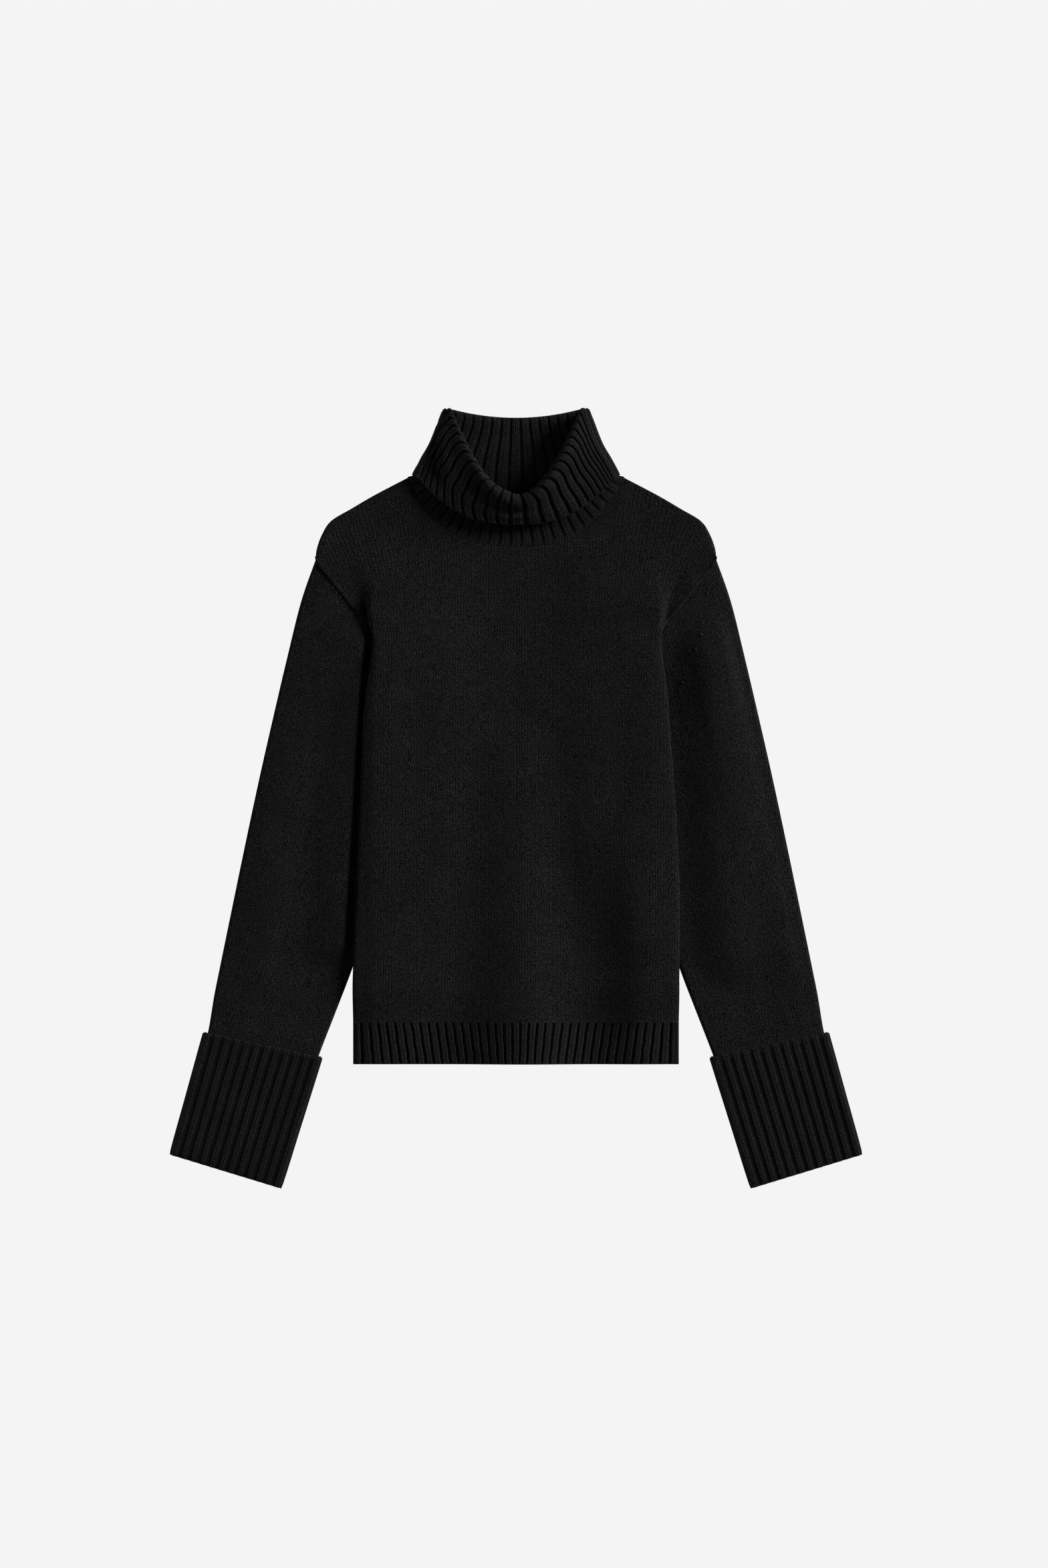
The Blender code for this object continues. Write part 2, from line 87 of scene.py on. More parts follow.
BACK_INSET = 4.6         # the back ends this far inside the front's turned edge
BACK_EASE = 3            # and still does this many rows past the end of a fold
Neck = namedtuple("Neck", "half_width side_y centre_y power")
BACK_NECK = Neck(114.3, 332.2, 311.3, 2.0)
NECK_REACH = 0.45        # the share of a panel's height above which its rows bend to the neck
BACK_ROWS, BACK_COLUMNS = 90, 60

# A sleeve from the armhole to the cuff: its outer and inner edge, how far it is lifted off the surface, and
# how far its upper layer stands off the lower one near the outer fold. The body's panels climb over it.
Sleeve = namedtuple("Sleeve", "outer_x outer_y inner_x inner_y lift puff")
SLEEVE = (
    Sleeve(-211.0, 245.4, -99.6, 110.0, 0.0, 0.6),
    Sleeve(-225.0, 205.0, -103.0, 90.0, 0.0, 1.2),
    Sleeve(-239.0, 149.0, -108.0, 60.0, 0.0, 1.8),
    Sleeve(-252.0, 94.0, -116.0, 20.0, 0.0, 2.0),
    Sleeve(-268.0, 24.0, -127.0, -30.0, 0.0, 2.0),
    Sleeve(-283.0, -46.0, -141.0, -82.0, 0.0, 2.0),
    Sleeve(-297.5, -116.0, -156.0, -134.0, 0.0, 2.0),
    Sleeve(-309.0, -172.0, -173.0, -183.0, 0.2, 1.8),
    Sleeve(-316.0, -207.0, -188.0, -222.0, 1.4, 1.2),
    Sleeve(-322.0, -243.0, -206.5, -270.0, 3.5, 0.0),
)
SLEEVE_SPACE = 7.4       # how far the body is lifted where it lies over a sleeve
LIFT_NEAR, LIFT_FAR = 14.0, 56.0           # it comes down again between these distances from the sleeve
LIFT_PAST_X, LIFT_PAST_Y = 2.5, 3.0        # the sleeve is taken to end this far beyond the underarm
# The shoulder drops to the surface outside a crease that runs up from the underarm
CREASE_FOOT, CREASE_TOP, CREASE_TOP_Y = 152.5, 160.0, 238.0     # how far out it lies at its two ends
CREASE_BELOW, CREASE_RUN = 6.0, 12.0       # it starts this far below the underarm, over this height
CREASE_STEP, CREASE_RIGHT = 4.0, 5.0       # the width of the drop, and so much more on the right
CREASE_SHARP, CREASE_SPREAD = 22.0, 0.9    # above this height the width grows by this share of it
HARD_EDGE = 75.0         # degrees between two faces past which the edge between them is shaded hard


def smooth(share):
    """An even S-curve from 0 to 1."""
    share = np.clip(share, 0.0, 1.0)
    return share * share * (3.0 - 2.0 * share)


def between(start, end, share):
    """The value at a share of the way from start to end."""
    return start + (end - start) * share


def bell(off, width):
    """A soft swelling: 1 in its middle, and next to nothing at twice its width from there."""
    return np.exp(-((off / width) ** 2))


def reading(table, at):
    """A table of places and values, read at each place in straight steps."""
    return np.interp(at, *np.transpose(table))


def through(table, at):
    """A smooth curve through the rows of a table, read at each place along it."""
    rows = np.asarray(table, float)
    at = np.clip(np.asarray(at, float), 0.0, len(rows) - 1.0)
    row = np.minimum(at.astype(int), len(rows) - 2)
    step = (at - row)[:, None]
    longer = np.concatenate([2 * rows[:1] - rows[1:2], rows, 2 * rows[-1:] - rows[-2:-1]])
    before, low, high, after = (longer[row + k] for k in range(4))
    bend = 2 * before - 5 * low + 4 * high - after
    twist = 3 * low - before - 3 * high + after
    return 0.5 * (2 * low + (high - before) * step + bend * step**2 + twist * step**3)


def even_places(points, count, samples=40):
    """Places along a table's smooth curve that are the same distance apart on it."""
    fine = np.linspace(0.0, len(points) - 1.0, samples * (len(points) - 1) + 1)
    line = through(points, fine)
    reach = np.concatenate([[0.0], np.cumsum(np.linalg.norm(np.diff(line, axis=0), axis=1))])
    return np.interp(np.linspace(0.0, reach[-1], count), reach, fine)


def u_curve(half_width, side_y, centre_y, power, shares, samples=241):
    """A neckline from left to right, at the given shares of its own length."""
    x = half_width * np.sin(np.linspace(-pi / 2, pi / 2, samples))
    y = side_y - (side_y - centre_y) * (1.0 - np.abs(x / half_width) ** power)
    reach = np.concatenate([[0.0], np.cumsum(np.hypot(np.diff(x), np.diff(y)))])
    wanted = np.clip(shares, 0.0, 1.0) * reach[-1]
    return np.interp(wanted, reach, x), np.interp(wanted, reach, y)


def off_sleeve(x, y):
    """How far each place lies in from the edge of the sleeve under it, and how far beyond its ends."""
    edge = sorted((row.inner_y, -row.inner_x) for row in SLEEVE if row.inner_y > BODY_SIDE[1].y)
    edge_y = [row[0] for row in edge] + [UNDERARM.y + LIFT_PAST_Y]
    edge_x = [row[1] for row in edge] + [UNDERARM.x + LIFT_PAST_X]
    beside = np.maximum(np.interp(y, edge_y, edge_x) - np.abs(x), 0.0)
    return beside, np.maximum(y - edge_y[-1], 0.0) + np.maximum(edge_y[0] - y, 0.0)


def crease_place(y):
    """How far out the crease of the shoulder lies at each height."""
    share = np.clip((y - UNDERARM.y) / (CREASE_TOP_Y - UNDERARM.y), 0.0, 1.0)
    return between(CREASE_FOOT, CREASE_TOP, share)


def shoulder_drop(x, y):
    """From 0 to 1, how far the shoulder has dropped past its crease."""
    above = np.maximum(y - UNDERARM.y - CREASE_SHARP, 0.0)
    width = CREASE_STEP + CREASE_RIGHT * (x > 0.0) + CREASE_SPREAD * above
    past = (np.abs(x) - crease_place(y)) / width
    return smooth(past + 0.5) * smooth((y - UNDERARM.y + CREASE_BELOW) / CREASE_RUN)


def body_lift(x, y):
    """How far the underside of the body lies above the surface: it climbs over the sleeves at both sides."""
    near_sleeve = 1.0 - smooth((np.hypot(*off_sleeve(x, y)) - LIFT_NEAR) / (LIFT_FAR - LIFT_NEAR))
    return SLEEVE_SPACE * near_sleeve * (1.0 - shoulder_drop(x, y))


def panel_edge(rows, count):
    """A panel's left edge from the hem up, unit vectors from it into the panel, and its turned share."""
    table = np.array([(-row.x, row.y, row.turned) for row in rows])
    line = through(table, even_places(table[:, :2], count))
    run = np.gradient(line[:, :2], axis=0)
    run /= np.linalg.norm(run, axis=1, keepdims=True)
    return line[:, :2], np.stack([run[:, 1], -run[:, 0]], axis=1), np.clip(line[:, 2], 0.0, 1.0)


def panel_plan(edge, neck, columns):
    """X and Y of a panel between its edge and the mirrored edge: level rows that bend to the neck seam."""
    reach = np.concatenate([[0.0], np.cumsum(np.linalg.norm(np.diff(edge, axis=0), axis=1))])
    bend = smooth((reach / reach[-1] - NECK_REACH) / (1.0 - NECK_REACH))[:, None]
    shares = np.linspace(0.0, 1.0, columns + 1)
    top_x, top_y = u_curve(neck.half_width, neck.side_y, neck.centre_y, neck.power, shares)
    share = 1.0 - 2.0 * shares
    x = edge[:, :1] * share + bend * (top_x - share * edge[-1, 0])
    y = edge[:, 1:] + bend * (top_y - edge[-1, 1])
    return x, y


def as_piece(mesh, name, finish):
    """A smoothly shaded piece of a mesh, with its finish."""
    data = bpy.data.meshes.new(name)
    mesh.to_mesh(data)
    mesh.free()
    data.materials.append(finish)
    data.shade_smooth()
    piece = bpy.data.objects.new(name, data)
    bpy.context.collection.objects.link(piece)
    return piece


def cloth(name, outer, inner, tube, knit, finish):
    """A closed wall of cloth between two grids of points. Knit lists its maps onto the knitted cloth: each
    is the grid cells that it covers, or None for all, and the wale and course place of each point."""
    rows, columns = outer.shape[0] - 1, outer.shape[1] - 1
    mesh = bmesh.new()
    mesh.loops.layers.uv.new("knit")
    place = mesh.verts.layers.int.new("place")
    bmesh.ops.create_grid(mesh, x_segments=columns, y_segments=rows, size=0.5, calc_uvs=True)
    for number, (corner, point) in enumerate(zip(mesh.verts, outer.reshape(-1, 3) * MM)):
        corner[place] = number
        corner.co = point
    if tube:
        bmesh.ops.remove_doubles(mesh, verts=mesh.verts, dist=TINY)
    grown = bmesh.ops.extrude_face_region(mesh, geom=mesh.faces[:])["geom"]
    under = inner.reshape(-1, 3) * MM
    for corner in grown:
        if isinstance(corner, bmesh.types.BMVert):
            corner.co = under[corner[place]]
    bmesh.ops.recalc_face_normals(mesh, faces=mesh.faces)
    piece = as_piece(mesh, name, finish)
    layer = piece.data.uv_layers["knit"].uv
    grid = np.zeros(len(layer) * 2, np.float32)
    layer.foreach_get("vector", grid)
    across = np.rint(grid[0::2] * columns).astype(int)
    up = np.rint(grid[1::2] * rows).astype(int)
    cell_x = np.minimum(across.reshape(-1, 4).min(axis=1), columns - 1)
    cell_y = np.minimum(up.reshape(-1, 4).min(axis=1), rows - 1)
    mapped = np.zeros((len(layer), 2))
    for cells, places in knit:
        inside = np.ones(len(cell_x), bool) if cells is None else cells[cell_y, cell_x]
        inside = np.repeat(inside, 4)
        mapped[inside] = places[up[inside], across[inside]]
    layer.foreach_set("vector", (mapped * MM).astype(np.float32).ravel())
    piece.data.set_sharp_from_angle(angle=np.radians(HARD_EDGE))
    return piece


def linear(code):
    """Linear colour of an sRGB hex code."""
    parts = [int(code[k:k + 2], 16) / 255.0 for k in (1, 3, 5)]
    return (*(c / 12.92 if c <= 0.04045 else ((c + 0.055) / 1.055) ** 2.4 for c in parts), 1.0)


def add_node(tree, kind, sockets, **settings):
    """One shader node with its settings; each of its sockets takes a value or another node's output."""
    made = tree.nodes.new("ShaderNode" + kind)
    for name, value in settings.items():
        setattr(made, name, value)
    for socket, value in sockets.items():
        if isinstance(value, bpy.types.NodeSocket):
            tree.links.new(value, made.inputs[socket])
        else:
            made.inputs[socket].default_value = value
    return made


def reckoned(tree, operation, *values):
    """What a shader reckons from up to three numbers or sockets, as a socket."""
    return add_node(tree, "Math", dict(enumerate(values)), operation=operation).outputs[0]


# Knitted wool: spun yarn in soft loops, so it is matt, with a faint bloom of fuzz; painted shade darkens
# its colour between the loops, in the purl grooves and along the grooves' walls. One wale of the plain knit
# is 2.9 mm wide and a course 2.4 mm high.
WALE, COURSE = 2.9, 2.4
SPLIT_SHARE = 0.18       # how far from the middle of a wale the dip between its two legs reaches
STITCH_LEAN = 0.7        # each leg climbs by this share of a course from the middle of its wale
LOOP_RISE, LOOP_FLOOR = 0.6, 0.4           # how far a knit loop bulges, above what it has at its ends
PURL_RISE = 0.55         # how far a purl loop bulges
YARN_GRAIN = 1.3         # mm, the grain of the spun yarn, drawn coarse so that it shows
GRAIN_LOW, GRAIN_HIGH = 0.38, 0.62         # the noise between which the grain turns from dark to light
WANDER_SIZE = 3.6        # mm, how far apart stitches are pulled different ways
TONE_SIZE = 30.0         # mm, slow unevenness of the dye and the pressing
TONE_LOW, TONE_HIGH, TONE_DEPTH = 0.3, 0.7, 0.15     # the noise between which the tone turns by this share
EDGE_FROM, EDGE_TO, WALL_SHADE = 0.05, 0.2, 0.2       # a painted shade line where knit and purl mix
WOOL_BLACK, WOOL_DEEP, WOOL_BLOOM = "#141414", "#010101", "#808080"


def knitted_wool(name, wales_of, split_depth, stitch_depth, loop_gap_shade, tone, wander, speck, purl_shade=0.3):
    """Black wool in wales of two slanting legs, parted by a dip. Wales_of gives the place across the wales
    and the share of purl groove at each point of the knit map. Loop_gap_shade is how dark the painted shade
    between its loops is, wander how far in mm the uneven yarn pulls stitches out of line, speck how far its
    grain turns lighter and darker, and purl_shade how dark the painted shade in the purl groove is."""
    material = bpy.data.materials.new(name)
    material.use_nodes = True
    tree = material.node_tree
    shader = tree.nodes["Principled BSDF"]
    where = add_node(tree, "TexCoord", {}).outputs["Object"]
    grain = add_node(tree, "TexNoise", {"Vector": where, "Scale": 1.0 / (YARN_GRAIN * MM), "Detail": 1.0,
                                        "Roughness": 0.7})
    slack = add_node(tree, "TexNoise", {"Vector": where, "Scale": 1.0 / (WANDER_SIZE * MM), "Detail": 2.0,
                                        "Roughness": 0.6})
    cloud = add_node(tree, "TexNoise", {"Vector": where, "Scale": 1.0 / (TONE_SIZE * MM), "Detail": 3.0})
    knit = add_node(tree, "UVMap", {}, uv_map="knit")
    pull = add_node(tree, "VectorMath", {0: slack.outputs[1], 1: (0.5, 0.5, 0.5)}, operation="SUBTRACT")
    pulled = add_node(tree, "VectorMath", {0: pull.outputs[0], 1: (wander * MM,) * 3, 2: knit.outputs[0]},
                      operation="MULTIPLY_ADD")
    place = add_node(tree, "SeparateXYZ", {0: pulled.outputs[0]})
    wales, groove = wales_of(tree, place.outputs[0])
    courses = reckoned(tree, "MULTIPLY", place.outputs[1], 1.0 / (COURSE * MM))
    across = reckoned(tree, "FRACT", wales)
    middle = reckoned(tree, "SUBTRACT", across, 0.5)
    off = reckoned(tree, "ABSOLUTE", middle)
    turn = reckoned(tree, "MULTIPLY", middle, pi)
    round_wale = reckoned(tree, "COSINE", turn)
    split = add_node(tree, "MapRange", {0: off, 2: SPLIT_SHARE, 3: -split_depth, 4: 0.0})
    legs = reckoned(tree, "ADD", round_wale, split.outputs[0])
    climb = reckoned(tree, "MULTIPLY_ADD", off, -2.0 * STITCH_LEAN, courses)
    loop = reckoned(tree, "FRACT", climb)
    loop_turn = reckoned(tree, "MULTIPLY", loop, pi)
    loop_rise = reckoned(tree, "SINE", loop_turn)
    loop_part = reckoned(tree, "MULTIPLY_ADD", loop_rise, LOOP_RISE, LOOP_FLOOR)
    knit_stitch = reckoned(tree, "MULTIPLY", legs, loop_part)
    purl_stitch = reckoned(tree, "MULTIPLY", loop_rise, PURL_RISE)
    stitch = add_node(tree, "Mix", {0: groove, 2: knit_stitch, 3: purl_stitch})
    grainy = reckoned(tree, "ADD", grain.outputs[0], stitch.outputs[0])
    bump = add_node(tree, "Bump", {"Height": grainy, "Distance": stitch_depth * MM})
    # Painted shade: the colour darkens where the wool dips between its loops and between the two legs of a
    # wale
    shade = add_node(tree, "MapRange", {0: stitch.outputs[0], 3: loop_gap_shade, 4: 1.0})
    fleck = add_node(tree, "MapRange", {0: grain.outputs[0], 1: GRAIN_LOW, 2: GRAIN_HIGH, 3: 1.0 - speck,
                                        4: 1.0 + speck})
    cloudy = add_node(tree, "MapRange", {0: cloud.outputs[0], 1: TONE_LOW, 2: TONE_HIGH,
                                         3: (1.0 - TONE_DEPTH) * tone, 4: (1.0 + TONE_DEPTH) * tone})
    # Painted shade: the purl wales are darkened where they lie sunk in their groove
    groove_shading = add_node(tree, "MapRange", {0: groove, 3: 1.0, 4: purl_shade})
    # Painted shade: a thin dark line along the groove's walls, where the knit wales meet the purl
    knit_share = reckoned(tree, "SUBTRACT", 1.0, groove)
    edge = reckoned(tree, "MULTIPLY", groove, knit_share)
    wall_shading = add_node(tree, "MapRange", {0: edge, 1: EDGE_FROM, 2: EDGE_TO, 3: 1.0, 4: WALL_SHADE})
    groove_and_wall_shade = reckoned(tree, "MULTIPLY", groove_shading.outputs[0], wall_shading.outputs[0])
    specked = reckoned(tree, "MULTIPLY", fleck.outputs[0], shade.outputs[0])
    grooved = reckoned(tree, "MULTIPLY", specked, groove_and_wall_shade)
    toned = reckoned(tree, "MULTIPLY", grooved, cloudy.outputs[0])
    # Grain and the dye's slow unevenness are the wool's own tone; the painted shade is multiplied in with
    # them
    colour = add_node(tree, "Mix", {0: toned, 6: linear(WOOL_DEEP), 7: linear(WOOL_BLACK)},
                      data_type="RGBA", clamp_factor=False)
    tree.links.new(colour.outputs[2], shader.inputs["Base Color"])
    tree.links.new(bump.outputs[0], shader.inputs["Normal"])
    shader.inputs["Roughness"].default_value = 0.85
    shader.inputs["Specular IOR Level"].default_value = 0.05
    shader.inputs["Sheen Weight"].default_value = 0.03
    shader.inputs["Sheen Roughness"].default_value = 0.4
    shader.inputs["Sheen Tint"].default_value = linear(WOOL_BLOOM)
    return material


def plain_wales(tree, across):
    """Even wales side by side, with no groove."""
    wales = reckoned(tree, "MULTIPLY", across, 1.0 / (WALE * MM))
    return wales, 0.0


plain_wool = knitted_wool(
    "plain_knit_black_wool", plain_wales, split_depth=0.6, stitch_depth=0.6, loop_gap_shade=0.3, tone=1.32,
    wander=2.8, speck=1.0)

back_edge, back_into, back_turned = panel_edge(BODY_SIDE, BACK_ROWS + 1)
near_fold = np.convolve(
    np.pad(back_turned, BACK_EASE, mode="edge"), np.ones(2 * BACK_EASE + 1), mode="valid")
back_line = back_edge + back_into * (BACK_INSET * (near_fold > 0.5))[:, None]
back_x, back_y = panel_plan(back_line, BACK_NECK, BACK_COLUMNS)
back_base = body_lift(back_x, back_y)
back = cloth(
    "back_panel",
    np.stack([back_x, back_y, back_base + CLOTH], axis=2),
    np.stack([back_x, back_y, back_base], axis=2),
    False,
    [(None, np.stack([back_x, back_y], axis=2))],
    plain_wool,
)
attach(back, "root")
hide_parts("back")


# Front panel ------------------------------------------------------------------------------------------
# The front is the upper panel of the body, in the same plain knit. It turns down over a soft fold at each
# side, ends in a seam at each armhole and at the neck, and lies in a few loose folds above the hem.

FRONT_NECK = Neck(112.2, 335.4, 264.9, 3.0)
FOLD_REACH, SEAM_REACH = 10.0, 2.2    # how far in from its edge the front begins to round over
FOLD_UNDER = 1.8                      # how far the fold comes back in below its widest
FOLD_WALL, SEAM_WALL = 3.0, 1.0       # how far in its underside starts
FOLD_CLEAR, SEAM_DEPTH = 0.1, 2.9     # a fold ends this far above the body's underside, a seam this far down
FOLD_START = -70.0                    # degrees below the widest line, where the turned edge ends
FOLD_STEPS = 9
# The left and the right fold: the column of the panel beside it, whether it is mirrored, how crisply it is
# pressed, and where along it, from the hem up, it strays to the right
Pressed = namedtuple("Pressed", "column mirror crisp strays")
Stray = namedtuple("Stray", "y x")
PRESSED = (
    Pressed(0, 1.0, 3.2, (Stray(75.0, 0.0), Stray(135.0, 2.6), Stray(178.0, 2.6), Stray(196.0, 0.0))),
    Pressed(-1, -1.0, 1.3, (Stray(-190.0, 0.0), Stray(-100.0, 4.5), Stray(-20.0, 4.5), Stray(90.0, 0.0))),
)
BODY_SLACK = 1.7                      # how far the front stands off the back beside the sleeves:
SLACK_IN, SLACK_OUT = 30.0, 80.0      # it rises between these distances from the middle,
SLACK_RISE = 40.0                     # over this height above the hem's seam,
SLACK_TOP, SLACK_END = 245.0, 290.0   # and is gone at the shoulders
# The front bridges the drop beside a sleeve more gently than the back does: over this distance, save near
# the hem on the right, and over this distance above and below the sleeve
BRIDGE_FAR, BRIDGE_NEAR, BRIDGE_BEYOND = 150.0, 90.0, 100.0
BRIDGE_LOW, BRIDGE_RIGHT = 110.0, 40.0      # over which it narrows, down and to the right
# The shoulder's crease has a narrow valley at its foot on the left
VALLEY_SINK, VALLEY_WIDTH = 2.4, 2.4
VALLEY_AT = 0.4                       # the share of the drop's width at which it lies
VALLEY_TOP, VALLEY_FADE = 42.0, 28.0  # how far above the underarm it ends, and over what height
FRONT_ROWS, FRONT_COLUMNS = 216, 176
# A long soft fold: the two ends of its crest, its height at each end, and how far it spreads to its left
# and to its right at each end
Fold = namedtuple("Fold", "x0 y0 x1 y1 height0 height1 left0 left1 right0 right1")
FRONT_FOLDS = (
    Fold(2.0, 40.0, 9.0, -275.0, 4.2, 14.0, 56.0, 84.0, 48.0, 74.0),
    Fold(138.0, 150.0, 146.0, -275.0, 2.2, 1.6, 44.0, 44.0, 23.0, 23.0),
    Fold(118.0, -40.0, 124.0, -275.0, 1.0, 4.4, 38.0, 40.0, 30.0, 36.0),
    Fold(-4.0, 170.0, 2.0, 20.0, 0.4, 1.2, 40.0, 40.0, 56.0, 50.0),
    Fold(-146.0, 140.0, -148.0, -275.0, 2.6, 1.6, 14.0, 20.0, 52.0, 60.0),
    Fold(186.0, 226.0, 168.0, 194.0, 2.4, 1.6, 20.0, 14.0, 10.0, 8.0),
)
NECK_BAND, ARM_BAND = 14.5, 14.5      # wales run along the neck and the armholes in a band this wide
ARM_SLANT = 0.72                      # the rows cross the armhole at a slant
NECK_BAND_FROM = 66.0                 # beside the neck only, this far out from the middle
FAN_FROM, FAN_START = 160.0, 60.0     # the wales fan out above this line, gently over the first of these
FAN_SLOPE, FAN_EDGE, FAN_POWER = 0.52, 154.0, 3.0   # how fast, this far from the middle, and how unevenly
FAN_ROUNDS = 12                       # rounds of Newton's method that find the wale at a point
NECK_VALLEY, NECK_VALLEY_WIDTH = 0.7, 2.5   # the panel sinks a little to its neck seam
ARM_VALLEY, ARM_VALLEY_WIDTH = 0.9, 1.6     # and to its armhole seams,
ARM_ROLL, ARM_ROLL_AT, ARM_ROLL_WIDTH = 0.8, 5.5, 2.6   # whose inner edge shows as a soft roll beside them,
ARM_ROLL_TOP, ARM_ROLL_FADE = 252.0, 6.0    # up to this line
ARM_BAND_TOP = 248.0                  # and their band of wales up to this one


def wale_place(x, y):
    """How far from the middle the wale at each point runs lower down, before it fans out."""
    above = np.maximum(y - FAN_FROM, 0.0)
    spread = FAN_SLOPE * above * above / (above + FAN_START)
    place = np.abs(x) + TINY
    for _ in range(FAN_ROUNDS):
        fanned = spread * (place / FAN_EDGE) ** FAN_POWER
        place = place - (place + fanned - np.abs(x)) / (1.0 + FAN_POWER * fanned / place)
        place = np.maximum(place, TINY)
    return np.sign(x) * place


def soft_folds(folds, x, y):
    """Height of a cloth's soft folds."""
    height = np.zeros_like(x)
    for fold in folds:
        run = np.array([fold.x1 - fold.x0, fold.y1 - fold.y0])
        along = np.clip(((x - fold.x0) * run[0] + (y - fold.y0) * run[1]) / (run @ run), 0.0, 1.0)
        off_x, off_y = x - fold.x0 - along * run[0], y - fold.y0 - along * run[1]
        left, right = between(fold.left0, fold.left1, along), between(fold.right0, fold.right1, along)
        far = np.hypot(off_x, off_y) + TINY
        share = far / between(left, right, 0.5 + 0.5 * off_x / far)
        height += between(fold.height0, fold.height1, along) * (1.0 - smooth(share))
    return height


def body_slack(x, y):
    """How far the front stands off the back, over and near the sleeves."""
    near_side = smooth((np.abs(x) - SLACK_IN) / (SLACK_OUT - SLACK_IN))
    below_shoulder = 1.0 - smooth((y - SLACK_TOP) / (SLACK_END - SLACK_TOP))
    return BODY_SLACK * near_side * below_shoulder * smooth((y - HEM_SEAM_Y) / SLACK_RISE)


def front_lift(x, y):
    """How far the front is lifted by the sleeves under it."""
    beside, beyond = off_sleeve(x, y)
    low_right = smooth(-y / BRIDGE_LOW) * smooth(x / BRIDGE_RIGHT)
    far = between(BRIDGE_FAR, BRIDGE_NEAR, low_right)
    bridge = 1.0 - smooth((beside - LIFT_NEAR) / (far - LIFT_NEAR))
    bridge = bridge * (1.0 - smooth(beyond / BRIDGE_BEYOND))
    return np.maximum(body_lift(x, y), SLEEVE_SPACE * bridge * (1.0 - shoulder_drop(x, y)))


def front_top(x, y):
    """Height of the front's upper face."""
    up = y - UNDERARM.y
    valley = bell(np.abs(x) - crease_place(y) - VALLEY_AT * CREASE_STEP, VALLEY_WIDTH) * (x < 0.0)
    valley = valley * smooth(up / CREASE_RUN) * smooth((VALLEY_TOP - up) / VALLEY_FADE)
    return (front_lift(x, y) + LAYER + CLOTH + body_slack(x, y) + soft_folds(FRONT_FOLDS, x, y)
            - VALLEY_SINK * valley)


def turned_panel(edge, into, turned, fold_reach, plan):
    """Outer and inner points of a front panel whose sides round down over a fold, or end in a seam."""
    reach = between(SEAM_REACH, fold_reach, turned)[:, None]
    wall = between(SEAM_WALL, FOLD_WALL, turned)[:, None]
    x, y = plan(edge + into * reach)
    angle = np.radians(np.linspace(FOLD_START, 90.0, FOLD_STEPS + 1))[:-1]
    over = np.where(angle > 0.0, 1.0 - np.cos(angle), 0.0)
    under = np.where(angle > 0.0, 0.0, FOLD_UNDER * (1.0 - np.cos(angle)))
    top = front_top(x, y)
    outer, inner = np.stack([x, y, top], axis=2), np.stack([x, y, top - CLOTH], axis=2)
    for fold in PRESSED:
        start = edge * (fold.mirror, 1.0)
        start[:, 0] += reading(fold.strays, edge[:, 1])
        step = np.stack([x[:, fold.column], y[:, fold.column]], axis=1) - start
        size = np.linalg.norm(step, axis=1, keepdims=True)
        bands = []
        for first, came_back, height in ((0.0 * wall, under, 0.0), (wall, 0.0 * under, CLOTH)):
            from_edge = first + (size - first) * over ** fold.crisp + came_back
            px = start[:, :1] + step[:, :1] / size * from_edge
            py = start[:, 1:] + step[:, 1:] / size * from_edge
            panel_top = front_top(px, py)
            low = between(panel_top - SEAM_DEPTH, body_lift(px, py) + FOLD_CLEAR, turned[:, None])
            z = between(low, panel_top - height, 0.5 + 0.5 * np.sin(angle))
            bands.append(np.stack([px, py, z], axis=2))
        if fold.column == 0:
            outer = np.concatenate([bands[0], outer], axis=1)
            inner = np.concatenate([bands[1], inner], axis=1)
        else:
            outer = np.concatenate([outer, bands[0][:, ::-1]], axis=1)
            inner = np.concatenate([inner, bands[1][:, ::-1]], axis=1)
    return outer, inner


def lengths(points, axis):
    """Running length along one way of a grid of points."""
    steps = np.linalg.norm(np.diff(points, axis=axis), axis=2)
    first = np.zeros_like(np.take(steps, [0], axis=axis))
    return np.concatenate([first, np.cumsum(steps, axis=axis)], axis=axis)


STITCH_RISE = 0.7        # a small stitch's height as a share of its width
STITCH_SINK = 0.1        # how far its middle lies below the face of the cloth

# The same wool drawn tight into small smooth stitches, which catch more light than the loose loops
tight_wool = bpy.data.materials.new("tight_black_wool_stitches")
tight_wool.use_nodes = True
tight_shader = tight_wool.node_tree.nodes["Principled BSDF"]
tight_shader.inputs["Base Color"].default_value = linear("#202020")
tight_shader.inputs["Roughness"].default_value = 0.8
tight_shader.inputs["Specular IOR Level"].default_value = 0.1


def tight_stitches(name, places, length, width):
    """Small raised stitches as one piece, each at its x, y and z and turned by its angle in degrees."""
    mesh = bmesh.new()
    for x, y, z, angle in places:
        shape = Matrix.Diagonal((length * MM, width * MM, STITCH_RISE * width * MM, 1.0))
        turn = Matrix.Rotation(np.radians(angle), 4, "Z")
        at = Matrix.Translation((x * MM, y * MM, z * MM))
        bmesh.ops.create_icosphere(mesh, subdivisions=1, radius=0.5, matrix=at @ turn @ shape)
    return as_piece(mesh, name, tight_wool)


